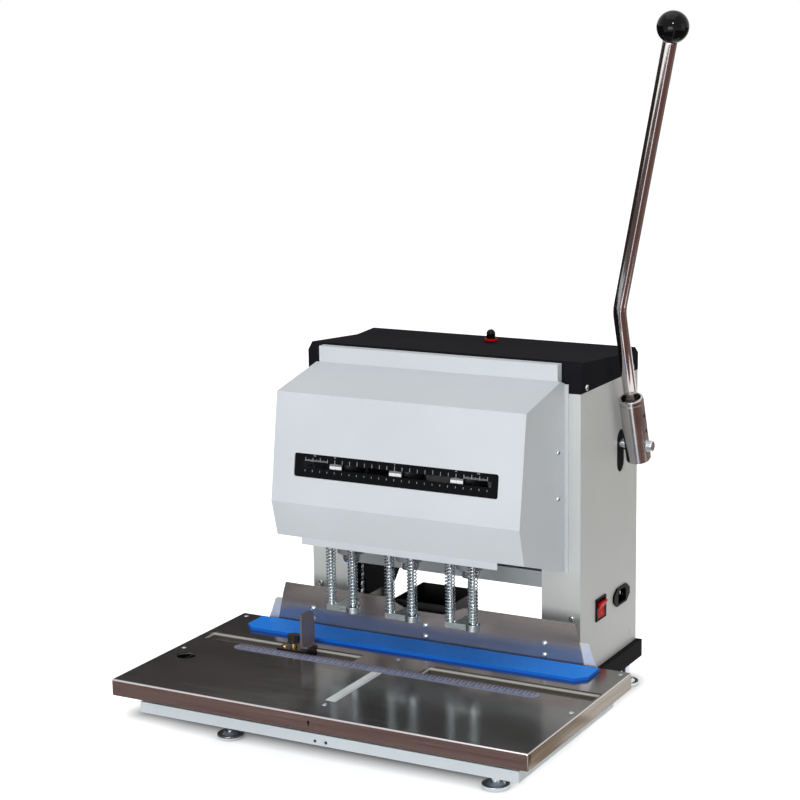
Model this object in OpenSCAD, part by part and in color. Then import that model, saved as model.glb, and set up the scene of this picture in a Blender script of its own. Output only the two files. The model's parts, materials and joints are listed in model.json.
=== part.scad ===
// Electric three-spindle paper punch with a hand lever.
// X runs left to right, Y front to back, Z up from the floor.
// The origin lies on the floor at the centre of the four levelling feet.

/* [Housing] */
// Width over the two side panels
body_w = 367; // [355:1:450]
// Depth of the side panels
body_d = 175; // [172:1:230]
// Height of the side panels' top edge above the floor
body_top = 405; // [402:1:480]
// Width of each front column
column_w = 50; // [46:1:58]
// Thickness of the housing sheet
sheet = 1.5; // [1:0.1:2]
// Height of the clear arch between the columns
arch_top = 166; // [150:1:168]

/* [Table] */
// Width of the paper table
table_w = 530; // [500:1:640]
// Depth of the paper table
table_d = 281.5; // [270:0.5:340]
// Height of the table top above the floor
table_top = 92; // [90:1:96]
// Thickness of the table sheet
table_t = 2; // [1.5:0.1:3]
// Drop of the table's folded edge
apron_h = 19; // [14:1:22]
// Width of the gauge channels, front to back
slot_w = 27; // [22:1:32]
// Thickness of the cutting pad
pad_t = 4; // [3:0.5:6]
// Width of the cutting pad, front to back
pad_w = 46; // [42:1:48]

/* [Fence] */
// Height of the fence above the table
fence_h = 51; // [45:1:54]
// Thickness of the fence plate
fence_t = 2; // [1.5:0.1:2.5]
// Width of the fence at its foot
fence_w = 418; // [400:1:440]

/* [Hood] */
// How much of each column shows beside the hood
column_reveal = 19.5; // [10.5:0.5:22.5]
// How far the hood's upper bend stands out from the columns
hood_out = 106.4; // [106:0.1:130]
// Width of the scale window
window_w = 269; // [240:1:290]
// Height of the scale window
window_h = 28; // [24:1:32]

/* [Spindles] */
// Distance between neighbouring spindles
pitch = 80; // [78:1:88]
// Travel of the head
stroke = 41; // [36:1:45]
// Radius of a hollow drill
drill_r = 3.25; // [2:0.05:4]
// Radius of a press foot rod
rod_r = 3; // [2.5:0.1:3.5]
// Half the distance between the two rods of a foot
rod_dx = 14.8; // [13:0.1:16]
// Thickness of a press foot
foot_t = 7; // [5:0.5:9]
// Mean radius of a foot spring
spring_r = 5.6; // [5.2:0.1:6]
// Radius of the foot spring's wire
wire_r = 0.65; // [0.5:0.05:0.8]
// Turns of a foot spring
spring_turns = 14; // [10:1:16]

/* [Lever] */
// Radius of the lever rod
lever_r = 8; // [6:0.5:9]
// Radius of the hub tube
hub_r = 15; // [14:0.5:18]
// Radius of the lever shaft
shaft_r = 7; // [6:0.5:8]
// Lean of the lever towards the front at rest, degrees
lean = 18.6; // [5:0.1:25]
// Outward bend of the lever rod, degrees
kick = 16.8; // [5:0.1:25]
// Length from the pivot to the bend
arm_low = 182; // [150:1:220]
// Length from the bend to the middle of the ball
arm_high = 363; // [250:1:430]
// Radius of the ball knob
ball_r = 17.5; // [15:0.5:22]
// Tooth module of the pinions and racks
gear_m = 1.5; // [1.5:0.1:1.5]
// Teeth on a pinion
gear_z = 42; // [42:2:42]

/* [Hidden] */
$fn = 48;

// Clearances: a running fit and two sliding faces
run_gap = 0.05;
slide_gap = 0.3;

// Housing
front_y = 24;
half_w = body_w / 2;
rear_y = front_y + body_d;
arch_half = half_w - column_w;
rear_flange = 18;
base_lip = 7.5;
base_bottom = 36;
base_top = 58;
base_wall = 3;
base_half = half_w + base_lip;
base_front = front_y - 38;
rear_panel_foot = 180;

// Table
table_half = table_w / 2;
table_rear = front_y - 40;
table_front = table_rear - table_d;
apron_foot = table_top - apron_h;
rib_half = 8;
rib_foot = table_top - 14;
skirt_in = 22;
skirt_foot = 47.5;
skirt_top = 60.4;
bearer_in = 30;
frame_half = table_half - bearer_in;
frame_front = table_front + bearer_in;
bearer_back = front_y - 35;
slot_rear = front_y - 119.5;
slot_front = slot_rear - slot_w;
slot_in = 44.5;
slot_edge_left = 8;
slot_edge_right = 3;
slot_depth = 9;
channel_t = 1.5;
finger_x = -235.6;
finger_y = front_y - 212;
finger_r = 12;
ruler_half = 202;
ruler_w = 18;
ruler_t = 0.4;
strip_w = 13;
strip_front = front_y - 273;
strip_rear = front_y - 167;
pad_half = 230;
pad_rear = front_y - 50;
pad_cut = 12;
pad_top = table_top + pad_t;
skirt_hole_dx = 14;
skirt_hole_r = 2;
skirt_hole_z = 52;

// Fence
fence_front = front_y - 46.5;
fence_top_w = fence_w - 24;
notch_half = 39;
notch_slope = 14;
notch_depth = 12;
backing_w = fence_w + 30;
backing_h = 29;
backing_t = 2;

// Screws
screw_r = 2;
screw_gap = 0.15;
screw_head_r = 3.6;
screw_head_h = 2;
screw_len = 6;
side_screw_x = table_half - 10;
side_screw_y = [-189, -50];
middle_screw_y = [-115, -286];
hood_screw_z = [283, 338.5];
hood_screw_out = 20.5;
column_screw_in = 11;
column_screw_z = 133;
flush_head_r = 3.2;
flush_head_h = 0.6;

// Hood outline, as distances in front of the columns and heights
hood_half = half_w - column_reveal;
hood_neck = 13;
hood_neck_half = hood_half - 4;
hood_top = body_top + 35.5;
hood_shoulder = body_top + 16;
hood_brow = body_top - 4;
hood_chin_out = hood_out + 19.6;
hood_chin = 270.5;
hood_lip_out = hood_out + 7.9;
hood_lip = 226;
hood_heel = 190;
hood_flange = 4.5;
bracket_t = 3;
bracket_out = 30;
bracket_foot = 265;
bracket_top = 356;
pin_hole_r = 1;
lip_drop = 8.5;
lip_half = 130;
face_lean = (hood_chin_out - hood_out) / (hood_brow - hood_chin);
window_mid = 316.7;
window_r = 3;
scale_t = 1;
slit_h = 7;
slit_mid = 318;
slit_w = 250;

// Head
drill_y = front_y - 82;
rod_back = 24;
rod_y = drill_y - rod_back;
foot_low = pad_top + stroke + 0.4;
rod_end = 1.5;
foot_foot = foot_low + rod_end;
foot_top = foot_foot + foot_t;
drill_tip = foot_low + 0.1;
foot_edge = 4.7;
foot_back = 6.5;
lobe_wall = 4.75;
eye_wall = 2.25;
nose_foot = 195;
nose_top = 205.4;
nose_r = 11;
spindle_r = 9;
sleeve_r = 17;
sleeve_foot = 206;
sleeve_top = 296;
lug_foot = 238;
lug_top = 250;
lug_out = 6;
flange_r = 22;
flange_top = 302;
motor_r = 21;
motor_top = 390;
rail_front = front_y - 56;
rail_back = front_y - 34;
rail_foot = 236;
rail_top = 286;
rail_half = arch_half + 16;
groove_foot = 255;
groove_h = 12;
groove_d = 6;
carrier_half = 16;
plate_t = 3;
plate_out = arch_half - 1;
plate_in = plate_out - plate_t;
plate_front = front_y + 38;
plate_foot = 111;
plate_top = 372;
guide_x = arch_half + 23;
guide_y = front_y + 60;
guide_r = 8;
guide_top = body_top - 7;
guide_grip = 14;
block_h = 30;
block_low = 160;
block_high = 335;
tie_t = 6;

// Lever drive
shaft_y = front_y + 122;
shaft_z = 322.4;
hub_x = half_w + 21.3;
hub_foot = 18.6;
hub_top = 66;
hub_rim = 1;
hub_groove_z = 6.5;
hub_groove_w = 1.2;
hub_groove_d = 0.6;
hub_mouth_r = 12;
hub_mouth_d = 20;
rod_foot = 11;
flat_out = 14.2;
set_screw_r = 2.5;
set_screw_z = [21, 42];
elbow_r = 60;
elbow_swell = 0.05;
shaft_out = 6.5;
shaft_chamfer = 1;
gear_r = gear_m * gear_z / 2;
gear_w = 12;
gear_x = arch_half + 10;
tooth_play = 0.25;
rack_t = 13;
rack_foot = 296;
rack_top = 380;
block_half = 25;
block_t = 9;

// Side fittings
panel_slot_w = 25;
panel_slot_foot = 287;
panel_slot_top = 340;
switch_y = front_y + 60;
switch_z = 131;
switch_w = 30;
switch_h = 28;
switch_d = 12;
rocker_tilt = 12;
inlet_y = front_y + 124;
inlet_z = 130;
inlet_d = 22;
button_x = 0;
button_y = front_y + 140;
collar_r = 8;
collar_t = 3;
button_r = 5.6;

// Top cover
cover_t = 2.5;
cover_front_h = 27.7;
cover_ridge_h = 36;
cover_dip_h = 27.3;
cover_back_h = 29.3;
cover_chamfer = 10;
button_seat = body_top + 28.6;

// Feet
foot_x = 175;
foot_dy = 189;
disc_r = 16;
disc_h = 5;
stud_r = 5;

// Gauge
gauge_x = -129;
gauge_y = slot_front + 13.5;
gauge_w = 40;
gauge_top = table_top + 3;

// ---------- helpers ----------

// Extrudes a (Y, Z) outline along X from x0 over len
module along_x(x0, len) {
    translate([x0, 0, 0])
        rotate([90, 0, 90])
            linear_extrude(len)
                children();
}

// Extrudes an (X, Z) outline along Y from y0 over len
module along_y(y0, len) {
    translate([0, y0 + len, 0])
        rotate([90, 0, 0])
            linear_extrude(len)
                children();
}

module rod_x(x0, len, r) {
    translate([x0, 0, 0])
        rotate([0, 90, 0])
            cylinder(h = len, r = r);
}

module box(lo, hi) {
    translate(lo)
        cube(hi - lo);
}

module mirrored() {
    children();
    mirror([1, 0, 0])
        children();
}

module rounded(w, h, r) {
    square([w - 2 * r, h], center = true);
    square([w, h - 2 * r], center = true);
    for (x = [-1, 1], y = [-1, 1])
        translate([x * (w / 2 - r), y * (h / 2 - r)])
            circle(r);
}

// A screw whose head's underside lies at z = 0, with its shank below
module screw(head_r = screw_head_r, head_h = screw_head_h, len = screw_len) {
    cylinder(h = head_h, r = head_r);
    translate([0, 0, -len])
        cylinder(h = len + head_h / 2, r = screw_r);
}

module screw_hole(len) {
    translate([0, 0, -len])
        cylinder(h = 2 * len, r = screw_r + screw_gap);
}

// ---------- places of the screws ----------

module at_table_screws() {
    for (s = [-1, 1], y = side_screw_y)
        translate([s * side_screw_x, front_y + y, table_top])
            children();
    for (y = middle_screw_y)
        translate([0, front_y + y, table_top])
            children();
}

module at_fence_screws() {
    for (x = [-158, 0, 158], z = [table_top + 8, table_top + 22])
        translate([x, fence_front, z])
            rotate([90, 0, 0])
                children();
}

module at_cover_screws() {
    for (s = [-1, 1], y = [17, body_d - 18])
        translate([s * half_w, front_y + y, body_top + 5.5])
            rotate([0, s * 90, 0])
                children();
}

module at_hood_screws() {
    for (s = [-1, 1], z = hood_screw_z)
        translate([s * hood_half, front_y - hood_screw_out, z])
            rotate([0, s * 90, 0])
                children();
}

module at_column_screws() {
    for (s = [-1, 1])
        translate([s * (half_w - column_screw_in), front_y, column_screw_z])
            rotate([90, 0, 0])
                children();
}

module at_feet() {
    for (x = [-foot_x, foot_x], y = [-foot_dy, foot_dy])
        translate([x, y, 0])
            children();
}

// ---------- base and table ----------

module base_frame() {
    color([0.09, 0.09, 0.1])
    difference() {
        union() {
            difference() {
                box([-base_half, base_front, base_bottom], [base_half, rear_y + base_wall, base_top]);
                box([-base_half + base_wall, base_front + base_wall, base_bottom - 1],
                    [base_half - base_wall, rear_y, base_top - base_wall]);
            }
            box([-base_half, base_front, base_bottom], [base_half, bearer_back, table_top - table_t]);
            difference() {
                box([-frame_half, frame_front, skirt_top],
                    [frame_half, bearer_back, table_top - table_t]);
                box([-frame_half + base_wall, frame_front + base_wall, skirt_top - 1],
                    [frame_half - base_wall, base_front, table_top]);
            }
            for (s = [-1, 1])
                translate([s * foot_x, foot_dy, base_bottom])
                    cylinder(h = base_top - base_bottom, r = 9);
            box([-rib_half, frame_front + 1, rib_foot],
                [rib_half, bearer_back - 1, table_top - table_t]);
            for (s = [-1, 1], y = side_screw_y)
                translate([s * (frame_half + 12) - 14, front_y + y - rib_half, rib_foot])
                    cube([28, 2 * rib_half, table_top - table_t - rib_foot]);
        }
        box([-table_half, slot_front - 4, table_top - slot_depth - 2],
            [table_half, slot_rear + 4, table_top]);
        at_feet()
            translate([0, 0, base_bottom - 1])
                cylinder(h = 16, r = stud_r + run_gap);
        at_table_screws()
            screw_hole(screw_len + 2);
    }
}

module sub_frame() {
    w = table_half - skirt_in;
    y0 = table_front + skirt_in + 2.5;
    y1 = base_front - 2;
    color([0.8, 0.84, 0.87])
    difference() {
        union() {
            difference() {
                box([-w, y0, skirt_foot], [w, y1, skirt_top]);
                box([-w + sheet, y0 + sheet, skirt_foot - 1], [w - sheet, y1 - sheet, skirt_top - sheet]);
            }
            for (s = [-1, 1])
                translate([s * foot_x, -foot_dy, skirt_foot])
                    cylinder(h = skirt_top - skirt_foot, r = 9);
        }
        at_feet()
            translate([0, 0, skirt_foot - 1])
                cylinder(h = 12, r = stud_r + run_gap);
        for (s = [-1, 1])
            translate([s * skirt_hole_dx / 2, y0 - 1, skirt_hole_z])
                rotate([-90, 0, 0])
                    cylinder(h = sheet + 2, r = skirt_hole_r);
    }
}

module slot_pair(y0, y1, z0, z1, grow) {
    box([-table_half + slot_edge_left - grow, y0, z0], [-slot_in + grow, y1, z1]);
    box([slot_in - grow, y0, z0], [table_half - slot_edge_right + grow, y1, z1]);
}

module table_plate() {
    color([0.35, 0.33, 0.31])
    difference() {
        union() {
            difference() {
                box([-table_half, table_front, apron_foot], [table_half, table_rear, table_top]);
                box([-table_half + table_t, table_front + table_t, apron_foot - 1],
                    [table_half - table_t, table_rear + 1, table_top - table_t]);
            }
            slot_pair(slot_front - channel_t, slot_rear + channel_t,
                table_top - slot_depth - channel_t, table_top - table_t / 2, channel_t);
        }
        slot_pair(slot_front, slot_rear, table_top - slot_depth, table_top + 1, 0);
        translate([finger_x, finger_y, table_top - 4])
            cylinder(h = 6, r = finger_r);
        at_table_screws()
            screw_hole(screw_len + 2);
        translate([0, table_front + table_t + 1, table_top - 9])
            rotate([90, 0, 0])
                cylinder(h = 5, r = 1.5);
    }
}

module ruler_strip() {
    y1 = slot_front - 1;
    color([0.72, 0.76, 0.85])
    translate([0, y1 - ruler_w / 2, table_top])
        linear_extrude(ruler_t) {
            square([2 * ruler_half - ruler_w, ruler_w], center = true);
            for (s = [-1, 1])
                translate([s * (ruler_half - ruler_w / 2), 0])
                    circle(ruler_w / 2);
        }
}

module centre_strip() {
    color([0.75, 0.78, 0.77])
    box([-strip_w / 2, strip_front, table_top], [strip_w / 2, strip_rear, table_top + ruler_t]);
}

module cutting_pad() {
    y0 = pad_rear - pad_w;
    color([0.08, 0.4, 0.85])
    translate([0, 0, table_top])
        linear_extrude(pad_t)
            polygon([[-pad_half, pad_rear], [pad_half, pad_rear], [pad_half, y0 + pad_cut],
                [pad_half - pad_cut, y0], [-pad_half + pad_cut, y0], [-pad_half, y0 + pad_cut]]);
}

// ---------- fence ----------

module fence_plate() {
    b = fence_w / 2;
    t = fence_top_w / 2;
    z0 = table_top;
    z1 = table_top + fence_h;
    knee = z1 - 14;
    color([0.55, 0.53, 0.52])
    difference() {
        along_y(fence_front, fence_t)
            polygon([[-b, z0], [b, z0], [t + 4, knee], [t, z1],
                [notch_half + notch_slope, z1], [notch_half, z1 - notch_depth / 2],
                [notch_half - notch_slope, z1 - notch_depth], [notch_slope - notch_half, z1 - notch_depth],
                [-notch_half, z1 - notch_depth / 2], [-notch_half - notch_slope, z1],
                [-t, z1], [-t - 4, knee]]);
        at_fence_screws()
            screw_hole(screw_len + 2);
    }
}

module fence_backing() {
    b = backing_w / 2;
    z0 = table_top;
    z1 = table_top + backing_h;
    r = 5;
    color([0.7, 0.71, 0.8])
    difference() {
        along_y(fence_front + fence_t, backing_t) {
            polygon([[-b, z0], [b, z0], [b - 9, z1 - r], [b - 9 - r, z1 - r], [b - 9 - r, z1],
                [-b + 9 + r, z1], [-b + 9 + r, z1 - r], [-b + 9, z1 - r]]);
            for (s = [-1, 1])
                translate([s * (b - 9 - r), z1 - r])
                    circle(r);
        }
        at_fence_screws()
            screw_hole(screw_len + 2);
    }
}

// ---------- screws ----------

module machine_screws() {
    color([0.75, 0.76, 0.78]) {
        at_table_screws()
            screw(flush_head_r, flush_head_h, screw_len);
        at_fence_screws()
            screw();
        at_cover_screws()
            screw();
        at_hood_screws()
            screw();
        at_column_screws()
            screw();
    }
}

// ---------- housing ----------

module side_panel() {
    x0 = half_w - sheet;
    difference() {
        union() {
            box([x0, front_y, base_top], [half_w, rear_y, body_top]);
            box([arch_half, front_y, base_top], [half_w, front_y + sheet, body_top]);
            box([half_w - rear_flange, rear_y - sheet, base_top], [half_w, rear_y, body_top]);
            box([hood_half - sheet - bracket_t, front_y - bracket_out, bracket_foot],
                [hood_half - sheet, front_y + sheet, bracket_top]);
        }
        at_column_screws()
            screw_hole(screw_len + 2);
        at_hood_screws()
            screw_hole(screw_len + 2);
        for (p = [[18, 390], [18, 386], [154, 75], [154, 70.5]])
            translate([0, front_y + p[0], p[1]])
                rod_x(x0 - 1, sheet + 2, pin_hole_r);
    }
}

module side_panel_left() {
    color([0.66, 0.65, 0.61])
    mirror([1, 0, 0])
        side_panel();
}

module side_panel_right() {
    color([0.66, 0.65, 0.61])
    difference() {
        side_panel();
        along_x(half_w - sheet - 1, sheet + 2)
            translate([shaft_y + 1, (panel_slot_foot + panel_slot_top) / 2])
                rounded(panel_slot_w, panel_slot_top - panel_slot_foot, panel_slot_w / 2 - 0.01);
        box([half_w - sheet - 1, switch_y - 13.5, switch_z - 12.5],
            [half_w + 1, switch_y + 13.5, switch_z + 12.5]);
        box([half_w - sheet - 1, inlet_y - 14, inlet_z - 10.5],
            [half_w + 1, inlet_y + 14, inlet_z + 10.5]);
    }
}

module rear_panel() {
    color([0.7, 0.69, 0.66])
    difference() {
        box([-half_w + sheet, rear_y - 2 * sheet, rear_panel_foot],
            [half_w - sheet, rear_y - sheet, body_top]);
        for (x = [-60 : 20 : 60])
            along_y(rear_y - 2 * sheet - 1, sheet + 2)
                translate([x, 340])
                    rounded(6, 50, 2.9);
    }
}

function cover_outline(t) = [
    [front_y + t, body_top - (t > 0 ? 1 : 0)],
    [front_y + t, body_top + cover_front_h - t / 2],
    [front_y + cover_chamfer + t / 2, body_top + cover_ridge_h - t],
    [front_y + 0.7 * body_d, body_top + cover_dip_h - t],
    [rear_y - cover_chamfer + 1 - t / 2, body_top + cover_back_h - t],
    [rear_y + 1 - t, body_top + cover_back_h - 8 - t / 2],
    [rear_y + 1 - t, body_top - (t > 0 ? 1 : 0)]];

module top_cover() {
    color([0.1, 0.1, 0.11])
    difference() {
        union() {
            difference() {
                along_x(-half_w, body_w)
                    polygon(cover_outline(0));
                along_x(-half_w + cover_t, body_w - 2 * cover_t)
                    polygon(cover_outline(cover_t));
            }
            translate([button_x, button_y, button_seat - 3.5])
                cylinder(h = 3.5, r = collar_r + 1.5);
        }
        at_cover_screws()
            screw_hole(screw_len + 2);
        translate([button_x, button_y, body_top])
            cylinder(h = 40, r = button_r + run_gap);
    }
}

module top_tie() {
    color([0.5, 0.5, 0.52])
    difference() {
        box([-half_w + sheet, guide_y - 20, guide_top - tie_t], [half_w - sheet, guide_y + 20, guide_top]);
        mirrored()
            translate([guide_x, guide_y, 0])
                cylinder(h = body_top, r = guide_r + run_gap);
    }
}

module cross_beam() {
    color([0.42, 0.44, 0.45])
    box([-arch_half - guide_grip, front_y + sheet, arch_top],
        [arch_half + guide_grip, front_y + sheet + 20, arch_top + 20]);
}

function hood_outline(t) = [
    [front_y - hood_neck + t, hood_shoulder - t * 0.8],
    [front_y - hood_out + t * 0.9, hood_brow - t * 0.85],
    [front_y - hood_chin_out + t, hood_chin],
    [front_y - hood_lip_out + t, hood_lip]];

module hood() {
    neck_y = front_y - hood_neck;
    flange_head = hood_shoulder - 5;
    color([0.8, 0.83, 0.85])
    difference() {
        union() {
            along_x(-hood_half, 2 * hood_half)
                polygon(concat([[front_y - sheet, hood_shoulder - 4]], hood_outline(0),
                    [[front_y - sheet, hood_heel]]));
            box([-hood_neck_half, neck_y, hood_brow], [hood_neck_half, front_y - sheet, hood_top]);
            box([-hood_half - hood_flange, front_y - sheet, hood_heel],
                [hood_half + hood_flange, front_y, flange_head]);
            box([-lip_half, front_y - hood_lip_out, hood_lip - lip_drop],
                [lip_half, front_y - hood_lip_out + sheet, hood_lip + 2]);
        }
        along_x(-hood_half + sheet, 2 * hood_half - 2 * sheet)
            polygon(concat([[front_y + 1, flange_head - sheet], [front_y - sheet, flange_head - sheet]],
                hood_outline(sheet),
                [[front_y - hood_lip_out + sheet, hood_lip - lip_drop - 1],
                [front_y - hood_lip_out + sheet, hood_heel - 1], [front_y + 1, hood_heel - 1]]));
        box([-hood_neck_half + sheet, neck_y + sheet, hood_brow - 20],
            [hood_neck_half - sheet, front_y + 1, hood_top - sheet]);
        along_y(front_y - hood_chin_out, 30)
            translate([0, window_mid])
                rounded(window_w, window_h, window_r);
        at_hood_screws()
            screw_hole(screw_len + 2);
    }
}

module scale_plate() {
    y_mid = front_y - hood_out - face_lean * (hood_brow - window_mid) + sheet;
    color([0.1, 0.1, 0.11])
    translate([0, y_mid, window_mid])
        rotate([-atan(face_lean), 0, 0])
            difference() {
                translate([-window_w / 2 - 8, 0.05, -window_h / 2 - 6])
                    cube([window_w + 16, scale_t, window_h + 12]);
                translate([-slit_w / 2, -1, slit_mid - window_mid - slit_h / 2])
                    cube([slit_w, scale_t + 3, slit_h]);
            }
}

module chip_tray() {
    lo = [-50, base_front + base_wall + 0.5, base_top];
    hi = [26, front_y + 44, 138];
    color([0.07, 0.07, 0.08])
    difference() {
        box(lo, hi);
        box(lo + [2, 2, 2], hi + [-2, -2, 1]);
    }
}

module levelling_feet() {
    color([0.72, 0.73, 0.75])
    for (x = [-foot_x, foot_x], y = [-foot_dy, foot_dy])
        translate([x, y, 0]) {
            front = y < 0;
            seat = front ? skirt_foot : base_bottom;
            cylinder(h = disc_h, r = disc_r);
            translate([0, 0, disc_h])
                cylinder(h = 3, r1 = 11, r2 = 8);
            cylinder(h = seat + 10, r = stud_r);
            translate([0, 0, seat - 7])
                cylinder(h = 7, r = 9, $fn = 6);
        }
}

// ---------- head guides ----------

module guide_shafts() {
    color([0.78, 0.79, 0.8])
    mirrored()
        translate([guide_x, guide_y, base_top])
            cylinder(h = guide_top - base_top + 4, r = guide_r);
}

module return_springs() {
    color([0.6, 0.6, 0.62])
    mirrored()
        translate([guide_x, guide_y, base_top])
            difference() {
                cylinder(h = block_low - base_top, r = guide_r + 4);
                translate([0, 0, -1])
                    cylinder(h = block_low, r = guide_r + 1.5);
            }
}

module head_side_plates() {
    y = plate_front;
    arm_foot = arch_top + 20 + stroke + 2;
    color([0.08, 0.08, 0.1])
    mirrored()
        along_x(plate_in, plate_t)
            polygon([[y, plate_foot], [front_y + 116, plate_foot], [front_y + 129.5, plate_foot + 14],
                [front_y + 129.5, 300], [front_y + 105, 308], [front_y + 105, plate_top], [y, plate_top],
                [y, 300], [rail_back, 300], [rail_back, arm_foot], [y, arm_foot]]);
}

module head_rail() {
    color([0.42, 0.44, 0.45])
    difference() {
        box([-rail_half, rail_front, rail_foot], [rail_half, rail_back, rail_top]);
        box([-rail_half - 1, rail_front - 1, groove_foot],
            [rail_half + 1, rail_front + groove_d, groove_foot + groove_h]);
    }
}

module guide_blocks() {
    color([0.55, 0.56, 0.58])
    mirrored()
        for (z = [block_low, block_high])
            difference() {
                box([plate_out, guide_y - guide_grip, z],
                    [guide_x + guide_grip, guide_y + guide_grip, z + block_h]);
                translate([guide_x, guide_y, z - 1])
                    cylinder(h = block_h + 2, r = guide_r + run_gap);
            }
}

// Half of the tooth angle at radius q, in degrees, for an involute flank
function inv_deg(a) = tan(a) * 180 / PI - a;
function flank(q) = (PI * gear_m / 2 - tooth_play) / 2 / gear_r * 180 / PI
    + inv_deg(20) - inv_deg(acos(min(1, gear_r * cos(20) / q)));

module pinion_outline() {
    root = gear_r - 1.2 * gear_m;
    tip = gear_r + gear_m;
    rise = [for (i = [0 : 2]) root + (tip - root) * i / 2];
    fall = [for (i = [2 : -1 : 0]) rise[i]];
    step = 360 / gear_z;
    polygon([for (k = [0 : gear_z - 1])
        each concat(
            [for (q = rise) let (a = k * step - flank(q)) q * [cos(a), sin(a)]],
            [for (q = fall) let (a = k * step + flank(q)) q * [cos(a), sin(a)]])]);
}

module lever_pinions() {
    color([0.5, 0.5, 0.52])
    mirrored()
        translate([0, shaft_y, shaft_z])
            difference() {
                along_x(gear_x, gear_w)
                    pinion_outline();
                rod_x(gear_x - 1, gear_w + 2, shaft_r + run_gap);
            }
}

// Rack teeth face the rear and stand on the pitch line in front of the shaft
module head_racks() {
    p = PI * gear_m;
    line = shaft_y - gear_r;
    root = line - 1.25 * gear_m;
    half = p / 4 - tooth_play / 2;
    skew = gear_m * tan(20);
    color([0.5, 0.5, 0.52])
    mirrored()
        along_x(plate_out, gear_x + gear_w - plate_out) {
            polygon([[line - rack_t, rack_foot], [root, rack_foot],
                [root, rack_top], [line - rack_t, rack_top]]);
            for (k = [-4 : 12])
                translate([line, shaft_z + (k - 0.5) * p])
                    polygon([[root - line - 0.1, -half - 1.25 * skew], [gear_m, -half + skew],
                        [gear_m, half - skew], [root - line - 0.1, half + 1.25 * skew]]);
        }
}

module bearing_blocks() {
    x0 = half_w - sheet - block_t;
    color([0.12, 0.12, 0.13])
    mirrored()
        difference() {
            box([x0, shaft_y - block_half, panel_slot_foot - 10],
                [half_w - sheet, shaft_y + block_half, panel_slot_top + 10]);
            translate([0, shaft_y, shaft_z])
                rod_x(x0 - 1, block_t + 2, shaft_r + run_gap);
        }
}

// ---------- lever ----------

module at_shaft() {
    translate([0, shaft_y, shaft_z])
        children();
}

// Local Z runs up the leaning lever, local X stays the row's X
module at_lever() {
    translate([hub_x, shaft_y, shaft_z])
        rotate([lean, 0, 0])
            children();
}

module lever_shaft() {
    foot = -half_w + sheet + 1;
    shoulder = hub_x + flat_out + shaft_out - shaft_chamfer;
    color([0.8, 0.8, 0.82])
    at_shaft() {
        rod_x(foot, shoulder - foot, shaft_r);
        translate([shoulder, 0, 0])
            rotate([0, 90, 0])
                cylinder(h = shaft_chamfer, r1 = shaft_r, r2 = shaft_r - shaft_chamfer);
    }
}

module lever_hub() {
    color([0.75, 0.75, 0.78])
    at_lever()
        difference() {
            translate([0, 0, -hub_foot]) {
                cylinder(h = hub_foot + hub_top - hub_rim, r = hub_r);
                translate([0, 0, hub_foot + hub_top - hub_rim])
                    cylinder(h = hub_rim, r1 = hub_r, r2 = hub_r - hub_rim);
            }
            translate([0, 0, hub_top - hub_groove_z])
                difference() {
                    cylinder(h = hub_groove_w, r = hub_r + 1);
                    translate([0, 0, -1])
                        cylinder(h = hub_groove_w + 2, r = hub_r - hub_groove_d);
                }
            translate([0, 0, hub_top - hub_mouth_d])
                cylinder(h = hub_mouth_d + 1, r = hub_mouth_r);
            translate([0, 0, rod_foot])
                cylinder(h = hub_top, r = lever_r + run_gap);
            rotate([-lean, 0, 0])
                rod_x(-hub_r - 1, 2 * hub_r + 2, shaft_r + run_gap);
            for (z = set_screw_z)
                translate([0, 0, z])
                    rod_x(0, hub_r + 1, set_screw_r);
            translate([flat_out, -hub_r, -hub_foot - 1])
                cube([hub_r, 2 * hub_r, hub_foot + hub_top + 2]);
        }
}

module lever_rod() {
    bend_len = elbow_r * tan(kick / 2);
    color([0.72, 0.7, 0.7])
    at_lever() {
        translate([0, 0, rod_foot + 0.5])
            cylinder(h = arm_low - bend_len - rod_foot + 0.5, r = lever_r);
        translate([elbow_r, 0, arm_low - bend_len])
            rotate([90, 0, 180])
                rotate_extrude(angle = kick)
                    translate([elbow_r, 0])
                        circle(lever_r + elbow_swell);
        translate([0, 0, arm_low])
            rotate([0, kick, 0])
                translate([0, 0, bend_len - 1]) {
                    cylinder(h = arm_high - bend_len - ball_r + 2, r = lever_r);
                    cylinder(h = arm_high - bend_len + 5, r = lever_r - 3);
                }
    }
}

module lever_knob() {
    neck = ball_r - 1;
    color([0.05, 0.05, 0.06])
    at_lever()
        translate([0, 0, arm_low])
            rotate([0, kick, 0])
                translate([0, 0, arm_high])
                    difference() {
                        sphere(ball_r);
                        translate([0, 0, -ball_r - 1])
                            cylinder(h = ball_r - neck + 1.01, r = ball_r);
                        translate([0, 0, -ball_r - 1])
                            cylinder(h = ball_r + 5.5, r = lever_r - 3 + run_gap);
                        translate([0, 0, -ball_r - 1])
                            cylinder(h = 2.5, r = lever_r + run_gap);
                    }
}

// ---------- spindle units; s is -1, 0 or 1 ----------

module at_drill(s) {
    translate([s * pitch, drill_y, 0])
        children();
}

module at_rods(s) {
    for (d = [-1, 1])
        translate([s * pitch + d * rod_dx, rod_y, 0])
            children();
}

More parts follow.
